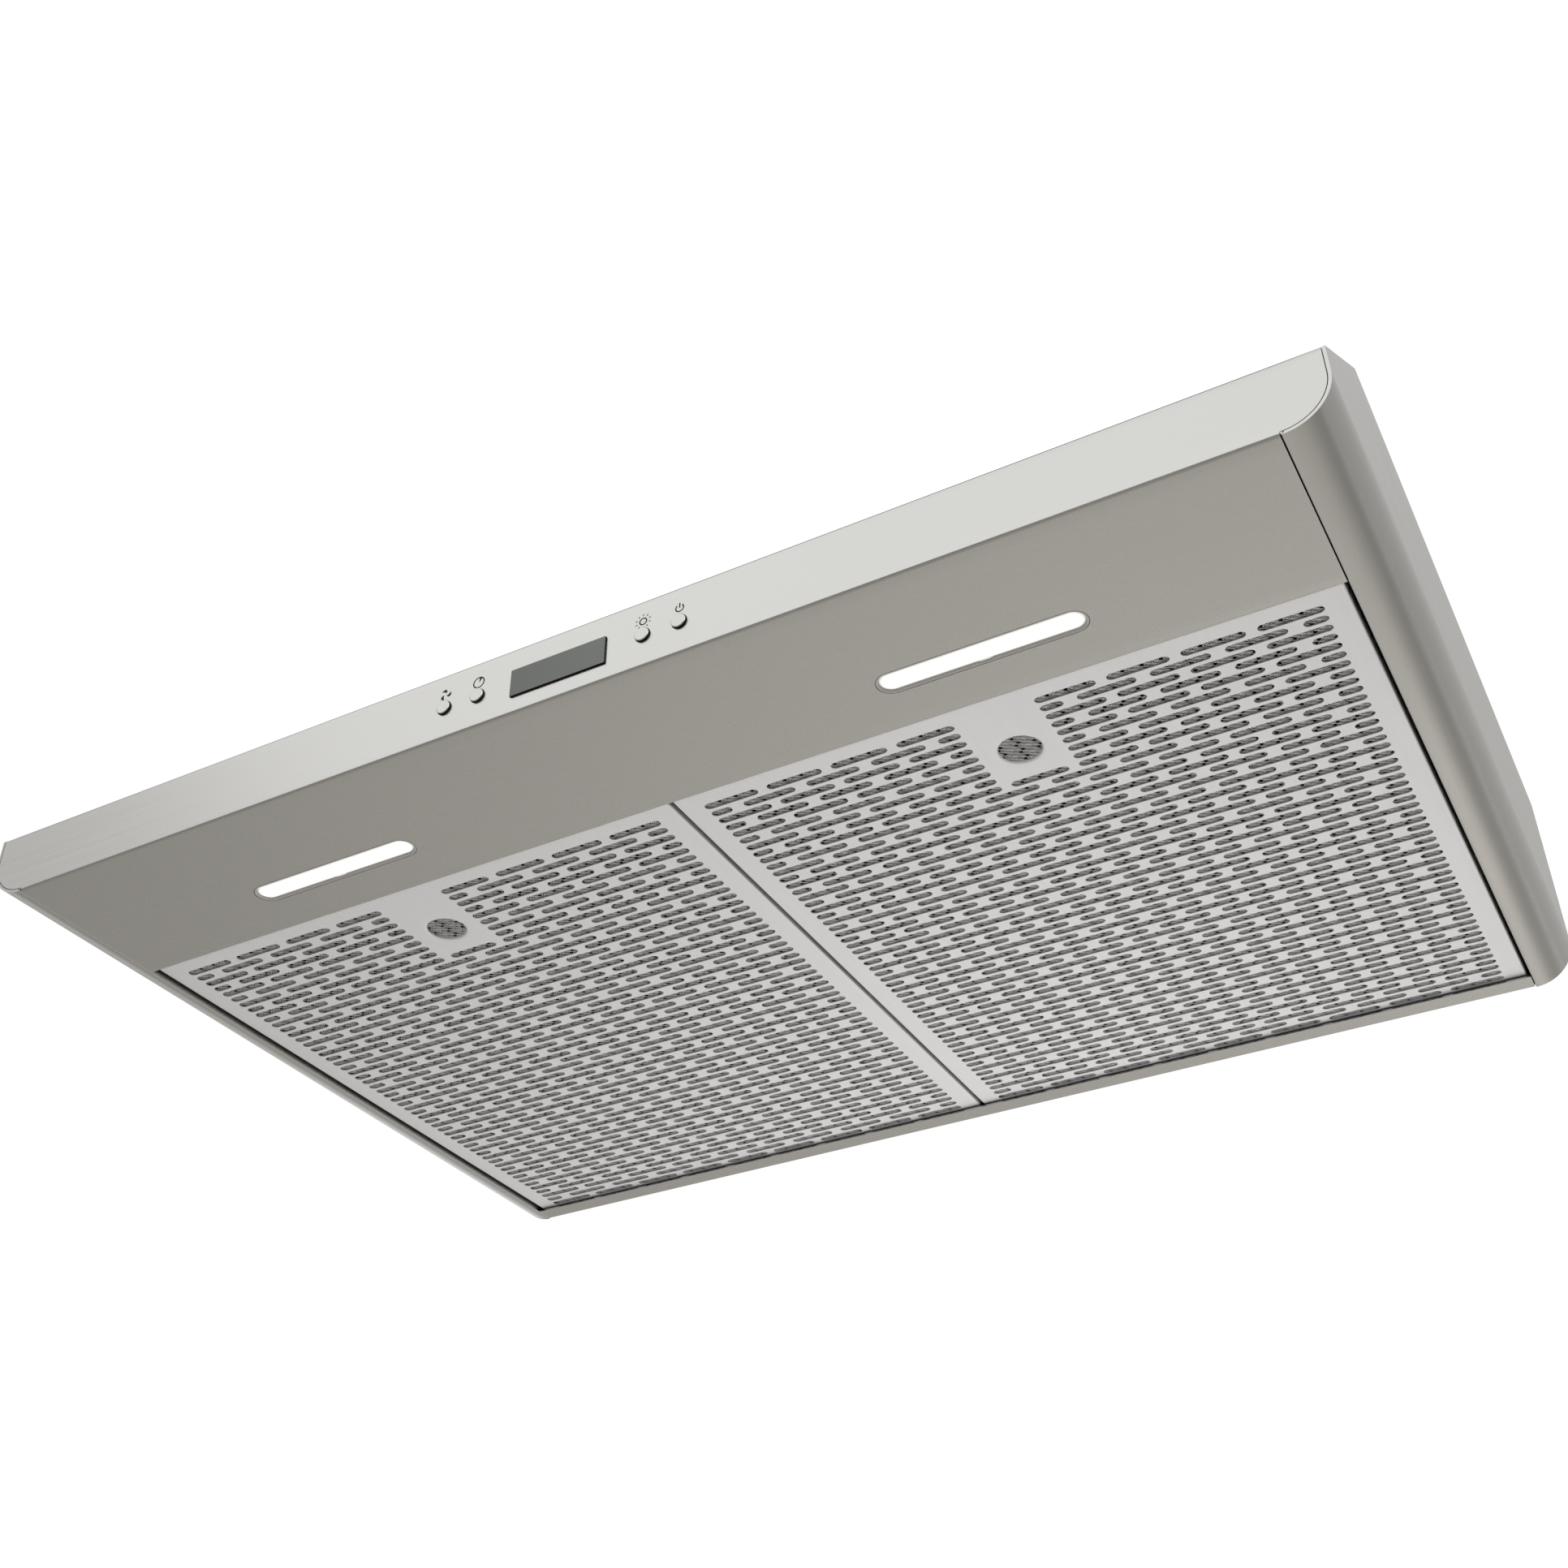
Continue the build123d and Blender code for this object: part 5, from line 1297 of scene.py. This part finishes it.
def make_studio_light():
    """Soft surround: white behind, brighter in front, shaded at both sides and overhead.

    Each area is a smooth step of the direction's own X, Y and Z, so that steel has soft forms to mirror.
    The white stretch at the rear is a fan: it ends where the way across is a set share of the way onward.
    """
    world = bpy.data.worlds.new("studio")
    world.use_nodes = True
    tree = world.node_tree
    way = add_node(tree, "ShaderNodeTexCoord").outputs["Generated"]
    parts = add_node(tree, "ShaderNodeSeparateXYZ", inputs={"Vector": way})
    x, y, z = (parts.outputs[axis] for axis in "XYZ")
    level = add_node(tree, "ShaderNodeVectorMath", {"operation": "DOT_PRODUCT"}, {
        0: way, 1: SWEEP_RIGHT}).outputs["Value"]
    onward = add_node(tree, "ShaderNodeVectorMath", {"operation": "DOT_PRODUCT"}, {
        0: way, 1: SWEEP_AHEAD}).outputs["Value"]
    level = add_node(tree, "ShaderNodeMath", {"operation": "ABSOLUTE"}, {0: level}).outputs[0]
    beside = add_node(tree, "ShaderNodeMath", {"operation": "MULTIPLY_ADD"}, {
        0: onward, 1: -SWEEP_SPREAD, 2: level}).outputs[0]
    steps = {}
    for name, value, start, end in (
            ("front", y, 0.15, -0.25), ("left", x, -0.6, -0.66), ("side", beside, 0.0, 0.05),
            ("rear", y, -0.2, 0.3), ("above", z, 0.84, 0.9)):
        steps[name] = add_node(tree, "ShaderNodeMapRange", {"interpolation_type": "SMOOTHSTEP"}, {
            "Value": value, "From Min": start, "From Max": end}).outputs[0]
    flank = add_node(tree, "ShaderNodeMath", {"operation": "MULTIPLY"}, {
        0: steps["side"], 1: steps["rear"]}).outputs[0]
    ahead = add_node(tree, "ShaderNodeMix", {"data_type": "RGBA"}, {
        0: steps["left"], 6: STUDIO_FRONT, 7: STUDIO_LEFT}).outputs[2]
    glow = STUDIO_WHITE
    for step, area in ((steps["front"], ahead), (flank, STUDIO_SHADE), (steps["above"], STUDIO_CEILING)):
        glow = add_node(tree, "ShaderNodeMix", {"data_type": "RGBA"}, {0: step, 6: glow, 7: area}).outputs[2]
    feed(tree, tree.nodes["Background"], {"Color": glow})
    bpy.context.scene.world = world


def add_softbox(name, place, aim, width, power, glossy=True):
    """Large square lamp aimed at a point; glossy says whether metal mirrors it."""
    data = bpy.data.lights.new(name, "AREA")
    data.shape = "SQUARE"
    data.size = width
    data.energy = power
    lamp = bpy.data.objects.new(name, data)
    turn = (Vector(aim) - Vector(place)).to_track_quat("-Z", "Y").to_matrix().to_4x4()
    lamp.matrix_world = Matrix.Translation(place) @ turn
    lamp.visible_camera = False
    lamp.visible_glossy = glossy
    bpy.context.scene.collection.objects.link(lamp)


class HOOD_OT_stage(bpy.types.Operator):
    """Camera, floor and soft studio light."""

    bl_idname = "range_hood.stage"
    bl_label = "Stage"

    def execute(self, context):
        make_camera()
        make_floor(tuple(context.scene.range_hood.finishes.floor))
        make_studio_light()
        add_softbox("softbox_right", (1.8, -1.6, 0.6), (0.2, 0.0, 0.0), 1.2, 8.0)
        # These light the floor that the visor and the right cap mirror, and the filters' rear half.
        add_softbox("floor_light", (-0.25, 2.1, 1.0), (-0.25, 2.1, -FLOOR_DROP), 1.5, 80.0, glossy=False)
        add_softbox("cap_light", (0.75, 2.8, -0.6), (0.75, 2.8, -FLOOR_DROP), 0.5, 12.0, glossy=False)
        add_softbox("filter_light", (0.05, 0.3, -0.55), (0.05, 0.3, 0.0), 0.4, 1.8, glossy=False)
        context.scene.view_settings.view_transform = "Standard"
        return {"FINISHED"}


# ---- Panel and registration ----
OPERATORS = (HOOD_OT_stage, HOOD_OT_front_sheet, HOOD_OT_end_caps, HOOD_OT_filter_pans, HOOD_OT_filter_meshes,
             HOOD_OT_lamps, HOOD_OT_buttons, HOOD_OT_display, HOOD_OT_symbols, HOOD_OT_frame_finishes)


class HOOD_PT_sidebar(bpy.types.Panel):
    """Lists the hood's pieces in build order."""

    bl_idname = "HOOD_PT_sidebar"
    bl_label = "Range Hood"
    bl_space_type = "VIEW_3D"
    bl_region_type = "UI"
    bl_category = "Range Hood"

    def draw(self, context):
        for operator in OPERATORS:
            self.layout.operator(operator.bl_idname)


CLASSES = (HoodCasingSizes, HoodFilterSizes, HoodControlSizes, HoodFinishes, RangeHoodSettings,
           *OPERATORS, HOOD_PT_sidebar)


def register():
    for item in CLASSES:
        bpy.utils.register_class(item)
    bpy.types.Scene.range_hood = PointerProperty(type=RangeHoodSettings)


def unregister():
    del bpy.types.Scene.range_hood
    for item in reversed(CLASSES):
        bpy.utils.unregister_class(item)


def main():
    """Registers everything and builds every piece."""
    register()
    for operator in OPERATORS:
        getattr(bpy.ops.range_hood, operator.bl_idname.split(".")[1])()


if __name__ == "__main__":
    main()
